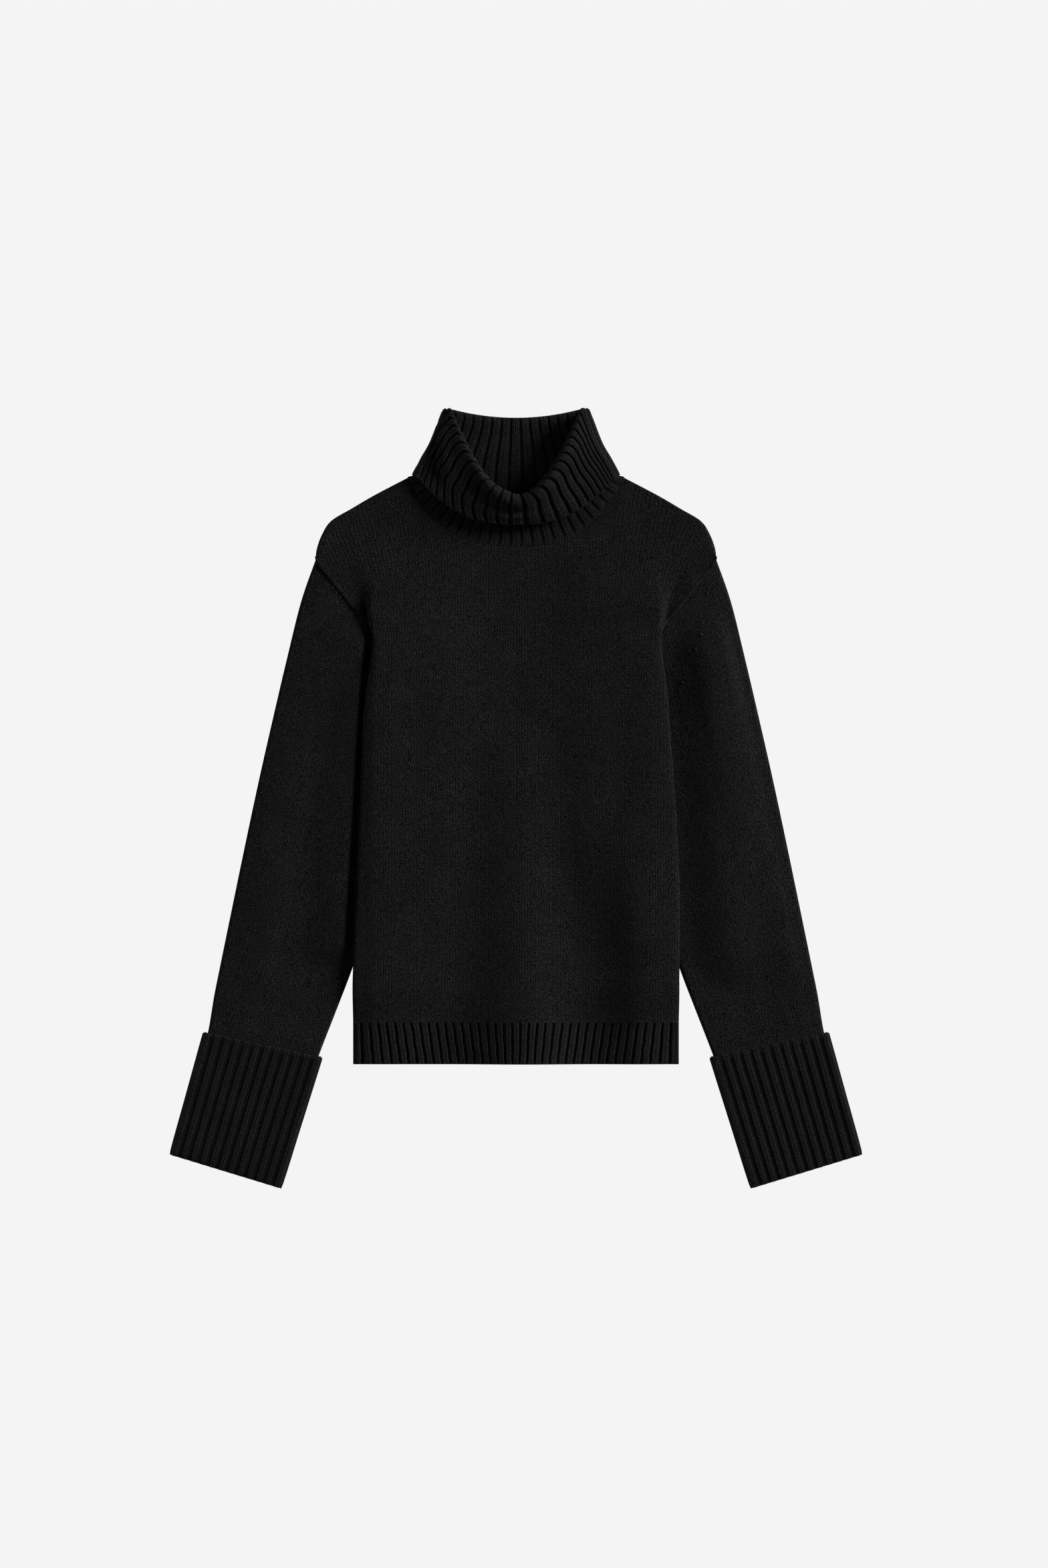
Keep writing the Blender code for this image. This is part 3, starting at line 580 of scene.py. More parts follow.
front_edge, front_into, front_turned = panel_edge(BODY_SIDE, FRONT_ROWS + 1)
front_outer, front_inner = turned_panel(
    front_edge, front_into, front_turned, FOLD_REACH,
    lambda edge: panel_plan(edge, FRONT_NECK, FRONT_COLUMNS))
plain_map = np.stack([wale_place(front_outer[..., 0], front_outer[..., 1]), front_outer[..., 1]], axis=2)
up_map, across_map = lengths(front_outer, 0), lengths(front_outer, 1)
down_from_neck = up_map[-1:] - up_map
front_outer[..., 2] -= NECK_VALLEY * bell(down_from_neck, NECK_VALLEY_WIDTH)
neck_map = np.stack([down_from_neck, across_map], axis=2)
neck_cells = (down_from_neck[:-1, :-1] < NECK_BAND) & (np.abs(front_outer[:-1, :-1, 0]) > NECK_BAND_FROM)
from_left, from_right = across_map, across_map[:, -1:] - across_map
edge_y = front_edge[:, 1:]
arm_rows = (edge_y[:-1] > UNDERARM.y) & (edge_y[:-1] < ARM_BAND_TOP)
arm_share = smooth((edge_y - UNDERARM.y) / ARM_ROLL_FADE) * smooth((ARM_ROLL_TOP - edge_y) / ARM_ROLL_FADE)
near_seam = np.minimum(from_left, from_right)
arm_roll = ARM_ROLL * bell(near_seam - ARM_ROLL_AT, ARM_ROLL_WIDTH)
arm_valley = ARM_VALLEY * bell(np.maximum(near_seam - SEAM_REACH, 0.0), ARM_VALLEY_WIDTH)
front_outer[..., 2] += arm_share * (arm_roll - arm_valley)
left_map = np.stack([-ARM_SLANT * from_left, up_map], axis=2)
right_map = np.stack([ARM_SLANT * from_right, up_map], axis=2)
left_cells = arm_rows & (from_left[:-1, :-1] < ARM_BAND)
right_cells = arm_rows & (from_right[:-1, :-1] < ARM_BAND)
front = cloth(
    "front_panel", front_outer, front_inner, False,
    [(None, plain_map), (left_cells, left_map), (right_cells, right_map), (neck_cells, neck_map)],
    plain_wool)
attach(front, "root")
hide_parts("front")

# Marks where two wales were knitted together beside the neck
MARK_WIDTH = 1.8
NECK_MARK_LENGTH, NECK_MARK_TURN = 3.2, 25.0
NECK_MARKS = ((-135.8, 314.7), (-133.6, 309.0), (-130.2, 304.9), (-125.4, 301.2), (-119.7, 297.9),
              (149.8, 313.3), (146.4, 307.6), (142.8, 303.2), (137.9, 299.9))
neck_marks = tight_stitches(
    "front_neck_marks",
    [(x, y, front_top(x, y) - STITCH_SINK, -NECK_MARK_TURN * np.sign(x)) for x, y in NECK_MARKS],
    NECK_MARK_LENGTH, MARK_WIDTH)
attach(neck_marks, "root")


# Hem --------------------------------------------------------------------------------------------------
# A deep 2x2 rib ends the body, front and back. It is knitted on with the panels in the same wool, draws in a
# little towards its edge, and its purl wales sink into narrow grooves.

HEM_Y = -278.5
HEM_RIBS = 38
HEM_SLANT = 6.5          # the ribs lean in by this much towards the edge, save the middle ones
HEM_LEANS_BY = 4.0       # how soon they lean, going out from the middle,
HEM_UPRIGHT = 10         # and how late they stand up again towards the sides
HEM_WANDER = 0.35        # how far they stray from their line,
HEM_WANDER_SEED = 5
HEM_WANDER_TALL = 3.0    # which they do this much faster along it than from rib to rib
HEM_START_RUN, HEM_START_DEPTH = 3.0, 0.35  # they reach their depth over this height from this share of it,
HEM_END_RUN, HEM_END_DEPTH = 2.5, 0.45      # and lose it again towards the free edge,
HEM_LIP = 0.5            # which turns down a little
HEM_EDGE_REACH = 4.0     # how far in from its side the front's hem begins to round over
HEM_ROWS = 30
SEAM_TUCK = 0.2          # the rib's first row is drawn tight against the last row of the panel
RIB_POINTS = 10          # columns across one rib
RIB_FIRST = 0.37         # where in a rib the first column of the hem and the collar lies
RIB_RISE, RIB_CROWN = 0.45, 0.35            # its knit wales stand up, the flatter on top the less the second
RIB_DIP, RIB_DIP_WIDTH = 0.22, 0.09         # with a dip between them
RIB_SINK, RIB_ROUNDNESS = 1.3, 0.6          # its purl groove sinks, with steeper walls the less the second
RIB_GROOVE = 0.26        # the groove's share of the rib
RIB_WIDTH = 10.5         # one rib on the knit map
GROOVE_FLOOR, GROOVE_END = 0.35, 0.6        # the shares of it over which its material turns to plain knit
# Slow unevenness: how many waves, between which lengths, and what brings their sum to about 1
WAVES, WAVE_SHORT, WAVE_LONG, WAVE_SUM = 5, 24.0, 60.0, 3.0


def rib_relief(phase, groove_share=RIB_GROOVE, sink=RIB_SINK, roundness=RIB_ROUNDNESS):
    """Height across a rib at each phase from 0 to 1. Its groove ends it."""
    phase = phase % 1.0
    body = 1.0 - groove_share
    crown = np.sin(pi * np.clip(phase / body, 0.0, 1.0)) ** RIB_CROWN
    dip = RIB_DIP * bell(phase / body - 0.5, RIB_DIP_WIDTH)
    groove = np.sin(pi * np.clip((phase - body) / groove_share, 0.0, 1.0)) ** roundness
    return RIB_RISE * crown - dip - sink * groove


def rib_place(phase, groove_share=RIB_GROOVE):
    """Place across the ribs on the knit map, where every groove has the same share."""
    whole = np.floor(phase)
    bends = ((0.0, 0.0), (1.0 - groove_share, 1.0 - RIB_GROOVE), (1.0, 1.0))
    return RIB_WIDTH * (whole + reading(bends, phase - whole))


def uneven(x, y, seed):
    """Slow, gentle unevenness, mostly between -1 and 1, the same each time."""
    random = np.random.default_rng(seed)
    total = np.zeros(np.broadcast(x, y).shape)
    for _ in range(WAVES):
        across, up = random.uniform(-1.0, 1.0), random.uniform(-1.0, 1.0)
        turn, size = random.uniform(0.0, 2 * pi), random.uniform(WAVE_SHORT, WAVE_LONG)
        total += np.sin((across * x + up * y) * 2 * pi / size + turn)
    return total / WAVE_SUM


def rib_wales(tree, across):
    """Two knit wales to each rib, and its purl groove."""
    ribs = reckoned(tree, "MULTIPLY", across, 1.0 / (RIB_WIDTH * MM))
    phase = reckoned(tree, "FRACT", ribs)
    wales = reckoned(tree, "MULTIPLY", phase, 2.0 / (1.0 - RIB_GROOVE))
    off = reckoned(tree, "SUBTRACT", phase, 1.0 - 0.5 * RIB_GROOVE)
    near = reckoned(tree, "ABSOLUTE", off)
    groove = add_node(tree, "MapRange", {0: near, 1: GROOVE_FLOOR * RIB_GROOVE,
                                         2: GROOVE_END * RIB_GROOVE, 3: 1.0, 4: 0.0})
    return wales, groove.outputs[0]


rib_wool = knitted_wool(
    "rib_knit_black_wool", rib_wales, split_depth=0.9, stitch_depth=0.5, loop_gap_shade=0.15, tone=1.75,
    wander=1.3, speck=0.6)

hem_y = np.linspace(HEM_Y, HEM_SEAM_Y + SEAM_TUCK, HEM_ROWS + 1)[:, None]
hem_edge = np.concatenate([np.full_like(hem_y, -BODY_SIDE[0].x), hem_y], axis=1)
hem_into = np.tile([1.0, 0.0], (len(hem_y), 1))
hem_phase = np.linspace(0.0, HEM_RIBS, HEM_RIBS * RIB_POINTS + 1) + RIB_FIRST
hem_share = np.linspace(-1.0, 1.0, len(hem_phase))
hem_down = np.linspace(1.0, 0.0, HEM_ROWS + 1)[:, None]


def hem_plan(edge):
    """X and Y of the hem between its edge and the mirrored edge: its ribs lean in, and stray a little."""
    lean = np.tanh(HEM_LEANS_BY * hem_share) * (1.0 - np.abs(hem_share) ** HEM_UPRIGHT)
    x = -edge[:, :1] * hem_share - hem_down * HEM_SLANT * lean
    x = x + HEM_WANDER * uneven(x, HEM_WANDER_TALL * edge[:, 1:], HEM_WANDER_SEED)
    return x, edge[:, 1:] * np.ones_like(x)


hem_outer, hem_inner = turned_panel(hem_edge, hem_into, np.ones(len(hem_y)), HEM_EDGE_REACH, hem_plan)
hem_starts = between(HEM_START_DEPTH, 1.0, smooth((HEM_SEAM_Y - hem_y) / HEM_START_RUN))
hem_ends = between(HEM_END_DEPTH, 1.0, smooth((hem_y - HEM_Y) / HEM_END_RUN))
hem_ribs = (rib_relief(hem_phase) - RIB_RISE) * hem_starts * hem_ends
hem_outer[:, FOLD_STEPS:-FOLD_STEPS, 2] += hem_ribs
hem_outer[0, :, 2] -= HEM_LIP
hem_place = np.pad(hem_phase, FOLD_STEPS, mode="edge") * RIB_WIDTH
hem_map = np.stack(np.broadcast_arrays(hem_place, hem_y), axis=2)
hem_front = cloth("hem_front_rib", hem_outer, hem_inner, False, [(None, hem_map)], rib_wool)
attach(hem_front, "root")
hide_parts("hem_front")

# Where the ribs start, a tight stitch stands at each side of every groove
START_LENGTH, START_WIDTH = 2.4, 1.0
START_Y, START_SINK = HEM_SEAM_Y + 0.9, 0.25
START_BESIDE, START_TURN = 0.2, 30.0     # the share of a rib that it lies beside the groove, and its lean
starts = []
for groove in np.arange(HEM_RIBS) + 1.0 - RIB_GROOVE / 2.0 - hem_phase[0]:
    for side in (-1.0, 1.0):
        x = (2.0 * (groove + START_BESIDE * side) / HEM_RIBS - 1.0) * BODY_SIDE[0].x
        starts.append((x, START_Y, front_top(x, START_Y) - START_SINK, 90.0 - START_TURN * side))
rib_starts = tight_stitches("hem_front_starts", starts, START_LENGTH, START_WIDTH)
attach(rib_starts, "root")

hem_back_x, hem_back_y = hem_plan(hem_edge + hem_into * BACK_INSET)
hem_back_z = body_lift(hem_back_x, hem_back_y)
hem_back_low = hem_back_z - np.minimum(0.0, hem_ribs)
hem_back = cloth(
    "hem_back_rib",
    np.stack([hem_back_x, hem_back_y, hem_back_z + CLOTH], axis=2),
    np.stack([hem_back_x, hem_back_y, np.minimum(hem_back_low, hem_back_z + 0.5 * CLOTH)], axis=2),
    False, [(None, hem_map[:, FOLD_STEPS:-FOLD_STEPS])], rib_wool)
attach(hem_back, "root")
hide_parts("hem_back")


# Sleeves ----------------------------------------------------------------------------------------------
# Each sleeve is a plain knitted tube, joined along its underside, set into the armhole and running down
# beside the body. It lies flat on itself, with soft long creases, and its inner part lies under the body.

SLEEVE_END = Sleeve(-208.4, 251.3, -95.0, 115.0, 0.0, 0.0)     # where it ends inside the armhole
SLEEVE_SLACK = 0.5       # air between its two layers
PUFF_SHARE = 0.4         # the share of its width over which its upper layer stands off
FOLD_FADE = 0.12         # soft folds fade over this share of the sleeve's width at its edges
# Each sleeve's own soft folds, seen from above
SLEEVE_FOLDS = {
    "left": (
        Fold(-262.0, 60.0, -272.0, -40.0, 0.8, 1.0, 30.0, 30.0, 34.0, 30.0),
        Fold(-240.0, -90.0, -262.0, -190.0, 0.8, 1.2, 26.0, 30.0, 30.0, 34.0),
        Fold(-162.5, 160.0, -184.0, -150.0, 5.6, 4.0, 56.0, 44.0, 8.0, 11.0),
    ),
    "right": (
        Fold(202.0, 150.0, 226.0, -160.0, 7.8, 6.6, 41.0, 46.0, 62.0, 58.0),
        Fold(262.0, -40.0, 288.0, -180.0, 0.8, 1.4, 20.0, 24.0, 20.0, 24.0),
    ),
}
CAP_REACH = 1.15         # how far its side folds round out, against half its height
SLEEVE_MARK_LENGTH, SLEEVE_MARK_RISE = 4.4, 0.1
# Marks where the sleeve's cap was narrowed beside the armhole, each turned by its angle in degrees
SLEEVE_MARKS = {
    "left": ((-191.8, 220.2, 60.0), (-188.3, 214.5, 50.0), (-184.1, 210.3, 55.0), (-187.6, 204.8, 50.0),
             (-185.5, 195.0, 60.0), (-178.5, 196.4, 50.0), (-172.9, 191.5, 55.0), (-177.1, 169.8, 60.0)),
    "right": ((200.2, 214.6, 110.0), (195.3, 183.8, 115.0), (193.9, 171.2, 110.0), (188.3, 155.1, 115.0),
              (179.9, 132.7, 110.0), (175.0, 120.8, 115.0), (171.5, 111.7, 110.0)),
}
SLEEVE_ROWS, SLEEVE_UPPER, SLEEVE_LOWER, CAP_STEPS = 150, 70, 36, 16
# The sleeve runs on into the cuff, whose place it needs: the cuff's upper and lower line, and its rings from
# its seam down inside, round the fold and up outside, each at a share of the way down
CUFF_TOP = ((-328.0, -247.0), (-203.0, -273.5))
CUFF_FOLD = ((-362.6, -372.5), (-245.4, -408.4))
CUFF_SEAM_GAP = 0.004
Cuff = namedtuple("Cuff", "down inset upper_z lower_z ribbed")
CUFF_RINGS = (
    Cuff(0.12, 5.2, 8.7, 5.1, 0.0),
    Cuff(0.5, 5.2, 8.7, 5.1, 0.0),
    Cuff(0.955, 5.2, 8.7, 5.1, 0.0),
    Cuff(0.988, 3.4, 10.5, 3.3, 1.0),
    Cuff(0.955, 1.6, 12.3, 1.5, 1.0),
    Cuff(0.5, 1.6, 12.5, 1.5, 1.0),
    Cuff(0.03, 1.6, 12.3, 1.5, 1.0),
    Cuff(0.012, 2.0, 12.2, 1.5, 1.0),
    Cuff(0.0, 3.4, 12.1, 1.5, 0.6),
)


def flat_ring(left, right, upper_z, lower_z, upper_steps, lower_steps, cap_reach):
    """A flattened ring of a tube: its upper layer left to right, round the fold, its lower layer back, and
    round again to the first point."""
    across = (right - left) / np.linalg.norm(right - left)
    radius, end_radius = 0.5 * (upper_z[0] - lower_z), 0.5 * (upper_z[-1] - lower_z)
    reach, end_reach = across * radius * cap_reach, across * end_radius * cap_reach
    start, end = left + reach, right - end_reach
    turn = np.linspace(0.0, pi, CAP_STEPS + 2)[1:-1, None]
    upper = np.column_stack([start + (end - start) * upper_steps[:, None], upper_z])
    lower = np.column_stack([end + (start - end) * lower_steps[:, None], np.full(len(lower_steps), lower_z)])
    right_cap = np.column_stack([end + end_reach * np.sin(turn), lower_z + end_radius * (1 + np.cos(turn))])
    left_cap = np.column_stack([start - reach * np.sin(turn), lower_z + radius * (1 - np.cos(turn))])
    return np.concatenate([upper, right_cap, lower, left_cap, upper[:1]])


def moved_in(left, right, inset):
    """Both ends of a line across a tube, moved in along it."""
    left, right = np.array(left, float), np.array(right, float)
    step = inset * (right - left) / np.linalg.norm(right - left)
    return left + step, right - step


def cuff_line(down, inset):
    """The line across the cuff at a share of the way down it."""
    top, fold = np.array(CUFF_TOP), np.array(CUFF_FOLD)
    return moved_in(*(top + (fold - top) * down), inset)


def tube_normals(middle):
    """Unit normals of a tube's grid, whose last column is its first again."""
    ring = middle[:, :-1]
    across = np.roll(ring, -1, axis=1) - np.roll(ring, 1, axis=1)
    normal = np.cross(across, np.gradient(ring, axis=0))
    normal /= np.linalg.norm(normal, axis=2, keepdims=True)
    return np.concatenate([normal, normal[:, :1]], axis=1)


sleeve_steps = np.linspace(0.0, 1.0, SLEEVE_UPPER)
sleeve_puff = np.sin(pi * np.clip(sleeve_steps / PUFF_SHARE, 0.0, 1.0))
seam_left, seam_right = cuff_line(CUFF_RINGS[0].down - CUFF_SEAM_GAP, CUFF_RINGS[0].inset)
sleeve_table = []
for row in (SLEEVE_END, *SLEEVE):
    ends = moved_in((row.outer_x, row.outer_y), (row.inner_x, row.inner_y), CLOTH / 2)
    lower = row.lift + CLOTH / 2
    sleeve_table.append((*ends[0], *ends[1], lower + SLEEVE_SLACK + LAYER, lower, row.puff))
sleeve_table.append((*seam_left, *seam_right, CUFF_RINGS[0].upper_z, CUFF_RINGS[0].lower_z, 0.0))
sleeve_table = np.array(sleeve_table)
sleeve_rows = through(sleeve_table, even_places(sleeve_table[:, :4], SLEEVE_ROWS + 1))
sleeve_middle = np.array([
    flat_ring(row[:2], row[2:4], row[4] + row[6] * sleeve_puff, row[5], sleeve_steps,
              np.linspace(0.0, 1.0, SLEEVE_LOWER), CAP_REACH)
    for row in sleeve_rows])
upper_fade = np.zeros(sleeve_middle.shape[1])
upper_fade[:SLEEVE_UPPER] = smooth(sleeve_steps / FOLD_FADE) * smooth((1.0 - sleeve_steps) / FOLD_FADE)
for side, mirror in (("left", 1.0), ("right", -1.0)):
    turn = np.array([mirror, 1.0, 1.0])
    folded_middle = sleeve_middle.copy()
    rise = soft_folds(SLEEVE_FOLDS[side], sleeve_middle[..., 0] * mirror, sleeve_middle[..., 1])
    folded_middle[..., 2] += rise * upper_fade
    sleeve_normal = tube_normals(folded_middle)
    sleeve_around = lengths(folded_middle, 1)
    sleeve_down = lengths(folded_middle, 0).mean(axis=1, keepdims=True) * np.ones_like(sleeve_around)
    tube = cloth(
        "sleeve_" + side + "_tube",
        (folded_middle + sleeve_normal * CLOTH / 2) * turn,
        (folded_middle - sleeve_normal * CLOTH / 2) * turn,
        True, [(None, np.stack([sleeve_around, -sleeve_down], axis=2))], plain_wool)
    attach(tube, "root")
    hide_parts("sleeve_" + side)
    top = folded_middle[:, :SLEEVE_UPPER] * turn
    marks = []
    for x, y, angle in SLEEVE_MARKS[side]:
        near = np.hypot(top[..., 0] - x, top[..., 1] - y)
        face = top[np.unravel_index(near.argmin(), near.shape)][2] + CLOTH / 2
        marks.append((x, y, face + SLEEVE_MARK_RISE, angle))
    narrowed = tight_stitches("sleeve_" + side + "_marks", marks, SLEEVE_MARK_LENGTH, MARK_WIDTH)
    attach(narrowed, "root")


# Cuffs ------------------------------------------------------------------------------------------------
# Each cuff is a tube of 2x2 rib, turned back on itself: it runs down from the sleeve inside, round a crisp
# fold, and up again outside to a free edge that covers its seam.

CUFF_RIBS, CUFF_COLUMNS = 11.25, 133    # ribs across its upper layer, and columns
CUFF_ROWS, CUFF_FINE_ROWS = 96, 20
CUFF_FINE = 0.032        # the share of the cuff's length next to its free edge that has finer rows
CUFF_SAMPLES = 1001
CUFF_GROOVE, CUFF_SINK = 0.42, 0.5      # its ribs are stretched wide: their grooves are wide, shallow and
CUFF_ROUNDNESS = 0.15                   # flat, so that their purl wales show
CUFF_FIRST = 0.18        # where in a rib the upper layer starts
CUFF_CAP_RIBS = 1.75     # ribs round each side fold
CUFF_CAP_REACH = 0.45    # how far its side folds round out, against half its height
ARCH_FROM, ARCH_DEPTH, ARCH_RUN = 2.2, 4.6, 0.5     # a groove starts in an arch this far from the free edge,
ARCH_RIDGE = 0.45        # where the wale that runs over it stands up by this much
ARCH_WALE = 0.12         # and lies this far into the rib beside it on the knit map
FOLD_FADE_RUN = 3.0      # the ribs press flat at the crisp fold

cuff_table = np.array(CUFF_RINGS)
cuff_top_line, cuff_fold_line = np.array(CUFF_TOP).mean(axis=0), np.array(CUFF_FOLD).mean(axis=0)
cuff_length = np.linalg.norm(cuff_fold_line - cuff_top_line)
cuff_path = np.column_stack([cuff_table[:, 0] * cuff_length, cuff_table[:, 2]])
cuff_places = even_places(cuff_path, CUFF_SAMPLES)
cuff_shares = np.concatenate([
    np.linspace(0.0, 1.0 - CUFF_FINE, CUFF_ROWS - CUFF_FINE_ROWS + 1)[:-1],
    np.linspace(1.0 - CUFF_FINE, 1.0, CUFF_FINE_ROWS + 1)])
cuff_rows = through(cuff_table, np.interp(cuff_shares, np.linspace(0.0, 1.0, CUFF_SAMPLES), cuff_places))
cuff_steps = np.linspace(0.0, 1.0, CUFF_COLUMNS + 1)
cuff_middle = np.array([
    flat_ring(*cuff_line(row[0], row[1]), np.full(len(cuff_steps), row[2]), row[3], cuff_steps, cuff_steps,
              CUFF_CAP_REACH)
    for row in cuff_rows])
cuff_normal = tube_normals(cuff_middle)
upper_phase = np.linspace(0.0, CUFF_RIBS, len(cuff_steps)) + CUFF_FIRST
cap_phase = np.linspace(0.0, CUFF_CAP_RIBS, CAP_STEPS + 2)[1:-1]
half_round = CUFF_RIBS + CUFF_CAP_RIBS
cuff_phase = np.concatenate([
    upper_phase, upper_phase[-1] + cap_phase, upper_phase + half_round,
    upper_phase[-1] + half_round + cap_phase, [upper_phase[0] + 2 * half_round]])
cuff_down = lengths(cuff_middle, 0).mean(axis=1, keepdims=True)
cuff_from_edge = cuff_down[-1] - cuff_down
from_fold = np.abs(cuff_from_edge - cuff_from_edge[np.argmax(cuff_rows[:, 0])])
cuff_ribbed = np.clip(cuff_rows[:, 4:], 0.0, 1.0) * smooth(from_fold / FOLD_FADE_RUN)
across_groove = 2.0 * (cuff_phase % 1.0 - 1.0 + CUFF_GROOVE / 2.0) / CUFF_GROOVE
in_groove = np.abs(across_groove) < 1.0
past_arch = cuff_from_edge - ARCH_FROM - ARCH_DEPTH * across_groove ** 2
arch = np.where(in_groove, smooth(past_arch / ARCH_RUN), 1.0)
ridge = ARCH_RIDGE * bell(past_arch + ARCH_RUN, ARCH_RUN) * in_groove
cuff_relief = rib_relief(cuff_phase, CUFF_GROOVE, CUFF_SINK, CUFF_ROUNDNESS) * arch + ridge
cuff_relief = cuff_relief * cuff_ribbed
# Where a groove starts below the free edge, the wales on both sides of it arch over it
beside = np.where(across_groove > 0.0, 1.0 + ARCH_WALE, (1.0 - ARCH_WALE) * (1.0 - RIB_GROOVE))
over_arch = RIB_WIDTH * (np.floor(cuff_phase) + beside)
cuff_place = between(rib_place(cuff_phase, CUFF_GROOVE), over_arch, in_groove * (1.0 - arch))
cuff_map = np.stack(np.broadcast_arrays(cuff_place, cuff_down), axis=2)
# The cuff's wide, shallow grooves get a lighter painted shade than those of the hem and the collar
loose_rib_wool = knitted_wool(
    "loose_rib_knit_black_wool", rib_wales, split_depth=0.9, stitch_depth=0.5, loop_gap_shade=0.15, tone=1.55,
    wander=1.3, speck=0.8, purl_shade=0.52)
cuff_outer = cuff_middle + cuff_normal * (CLOTH / 2 + cuff_relief)[..., None]
cuff_outer[..., 2] = np.maximum(cuff_outer[..., 2], 0.0)
for side, mirror in (("left", 1.0), ("right", -1.0)):
    turn = np.array([mirror, 1.0, 1.0])
    tube = cloth(
        "cuff_" + side + "_rib",
        cuff_outer * turn,
        (cuff_middle - cuff_normal * CLOTH / 2) * turn,
        True, [(None, cuff_map)], loose_rib_wool)
    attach(tube, "root")
    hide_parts("cuff_" + side)


# Collar -----------------------------------------------------------------------------------------------
# The collar is one tall tube of 2x2 rib. It stands up from the neck seam, rolls over at its rim and comes
# down outside to a free edge, fuller in front, so its ribs fan out and its roll stands proud.

# A ring round it: its side and how far in degrees that leans up, the lowest line of its front and its back
# and how square the front's curve is, their heights, and how deep its ribs are outside and inside
Ring = namedtuple(
    "Ring", "side_x side_y lean front_y back_y power front_z side_z back_z out_ribs in_ribs")
COLLAR_RINGS = (
    Ring(113.0, 334.5, 55.0, 264.4, 312.0, 3.0, 5.0, 5.0, 1.5, 1.0, 0.0),
    Ring(103.2, 338.0, 50.0, 283.0, 330.0, 2.6, 5.2, 8.9, 4.7, 1.0, 0.0),
    Ring(95.0, 351.0, 29.0, 296.0, 352.0, 2.2, 8.0, 9.3, 5.0, 0.0, 0.3),
    Ring(79.0, 381.0, 27.0, 308.0, 376.0, 1.9, 12.5, 10.4, 5.0, 0.0, 1.0),
    Ring(72.5, 397.0, 0.0, 313.0, 391.0, 1.8, 16.5, 13.0, 6.0, 0.0, 1.0),
    Ring(74.5, 405.7, 0.0, 312.5, 396.5, 1.8, 23.5, 16.0, 4.6, 0.0, 1.0),
    Ring(78.7, 397.0, 0.0, 304.5, 391.0, 1.85, 25.0, 16.5, 1.7, 0.0, 1.0),
    Ring(89.0, 371.0, 25.0, 295.5, 378.0, 2.1, 20.4, 14.2, 1.5, 0.0, 1.0),
    Ring(98.5, 354.5, 29.0, 289.8, 365.0, 2.35, 17.0, 13.4, 1.5, 0.0, 1.0),
    Ring(107.8, 337.4, 29.0, 285.6, 350.0, 2.5, 15.0, 13.0, 1.5, 0.0, 1.0),
)
RIM = 5.0                # the ring that is its rim; other places down it are counted in rings as well
COLLAR_FRONT_RIBS, COLLAR_BACK_RIBS = 24, 14
COLLAR_ROWS = 100
COLLAR_SAMPLES = 361
COLLAR_CAP_STEPS = 14
COLLAR_CAP_RIBS = 2      # ribs round each side fold
COLLAR_GROOVE, COLLAR_SINK = 0.23, 1.6     # its grooves are narrower and deeper than the hem's
BACK_POWER = 2.0         # how square the curve of its back is
# The ribs leave the rim at right angles to it, then bend down: back again on the left, ever further out on
# the right. These are the shares of the bend that they reach down the collar, and how far along it they go
Bend = namedtuple("Bend", "ring share")
LEFT_BEND = (
    Bend(5.0, 0.0), Bend(5.6, 0.4), Bend(6.2, 0.66), Bend(6.6, 0.76), Bend(7.5, 1.0), Bend(9.0, 0.56))
RIGHT_BEND = (
    Bend(5.0, 0.0), Bend(5.5, 0.28), Bend(6.4, 0.7), Bend(6.9, 0.77), Bend(7.7, 0.88), Bend(9.0, 1.0))
LEFT_SHIFT, RIGHT_SHIFT = 0.07, 0.115
RIGHT_EASE, RIGHT_PEAK = 1.2, 4.55         # how soon the right bend grows, and what brings its greatest to 1
# Its rim swells up at its middle, at this share of its front
SWELL_RISE, SWELL_AT, SWELL_WIDTH, SWELL_RINGS = 4.0, 0.46, 0.07, 1.0
# It stands higher on the right, from this far out and this high up
RIGHT_RISE, RIGHT_RISE_RING, RIGHT_RISE_RINGS = 6.0, 5.2, 1.3
RIGHT_RISE_X, RIGHT_RISE_X_RUN = 5.0, 60.0
RIGHT_RISE_Z, RIGHT_RISE_Z_RUN = 3.0, 9.0
# Below its rim it is a full roll, fullest in the middle, with a step under it there
ROLL_RISE, ROLL_RING, ROLL_RINGS = 1.2, 5.7, 0.6
ROLL_FULLER, ROLL_AT, ROLL_WIDTH, ROLL_POWER = 0.6, 0.45, 0.2, 4
STEP_SINK, STEP_RING, STEP_RINGS = 2.6, 6.6, 0.5
# A deep crease runs down its left side, with a soft lip beside it, between its foot and its head
Dent = namedtuple("Dent", "y x")
DENT_LINE = (Dent(336.0, -77.5), Dent(352.0, -80.5), Dent(377.0, -84.0), Dent(400.0, -86.0))
DENT_SINK, DENT_FROM, DENT_RUN = 3.4, 4.0, 7.0
DENT_LIP, DENT_LIP_AT, DENT_LIP_WIDTH = 1.4, 7.0, 6.0
DENT_FOOT, DENT_FOOT_RUN, DENT_HEAD, DENT_HEAD_RUN = 318.0, 30.0, 400.0, 20.0
DENT_RINGS = 0.4         # it deepens from the rim over this many rings
# On the left the ribs run out over the side, and come back round under it: by this many ribs, from this far
# in, and at these shares down the collar
WRAP_RIBS, WRAP_SHARE = 1.9, 0.42
WRAP_DOWN = (Bend(5.0, 0.0), Bend(6.5, 1.0), Bend(7.4, 1.0), Bend(9.0, 0.7))
STAND_DEPTH, STAND_RING = 0.5, 2.0         # the ribs are stretched flatter up to here, where it stands,
STAND_START, STAND_START_RUN = 0.15, 5.0   # and start almost flat at its seam
BACK_DEPTH, BACK_UNTIL, BACK_RINGS = 0.6, 4.9, 0.6   # inside its back they are this deep, and end at the rim
LIP_FLAT, LIP_RUN = 0.3, 2.5               # they end flat this close to its free edge, over the second

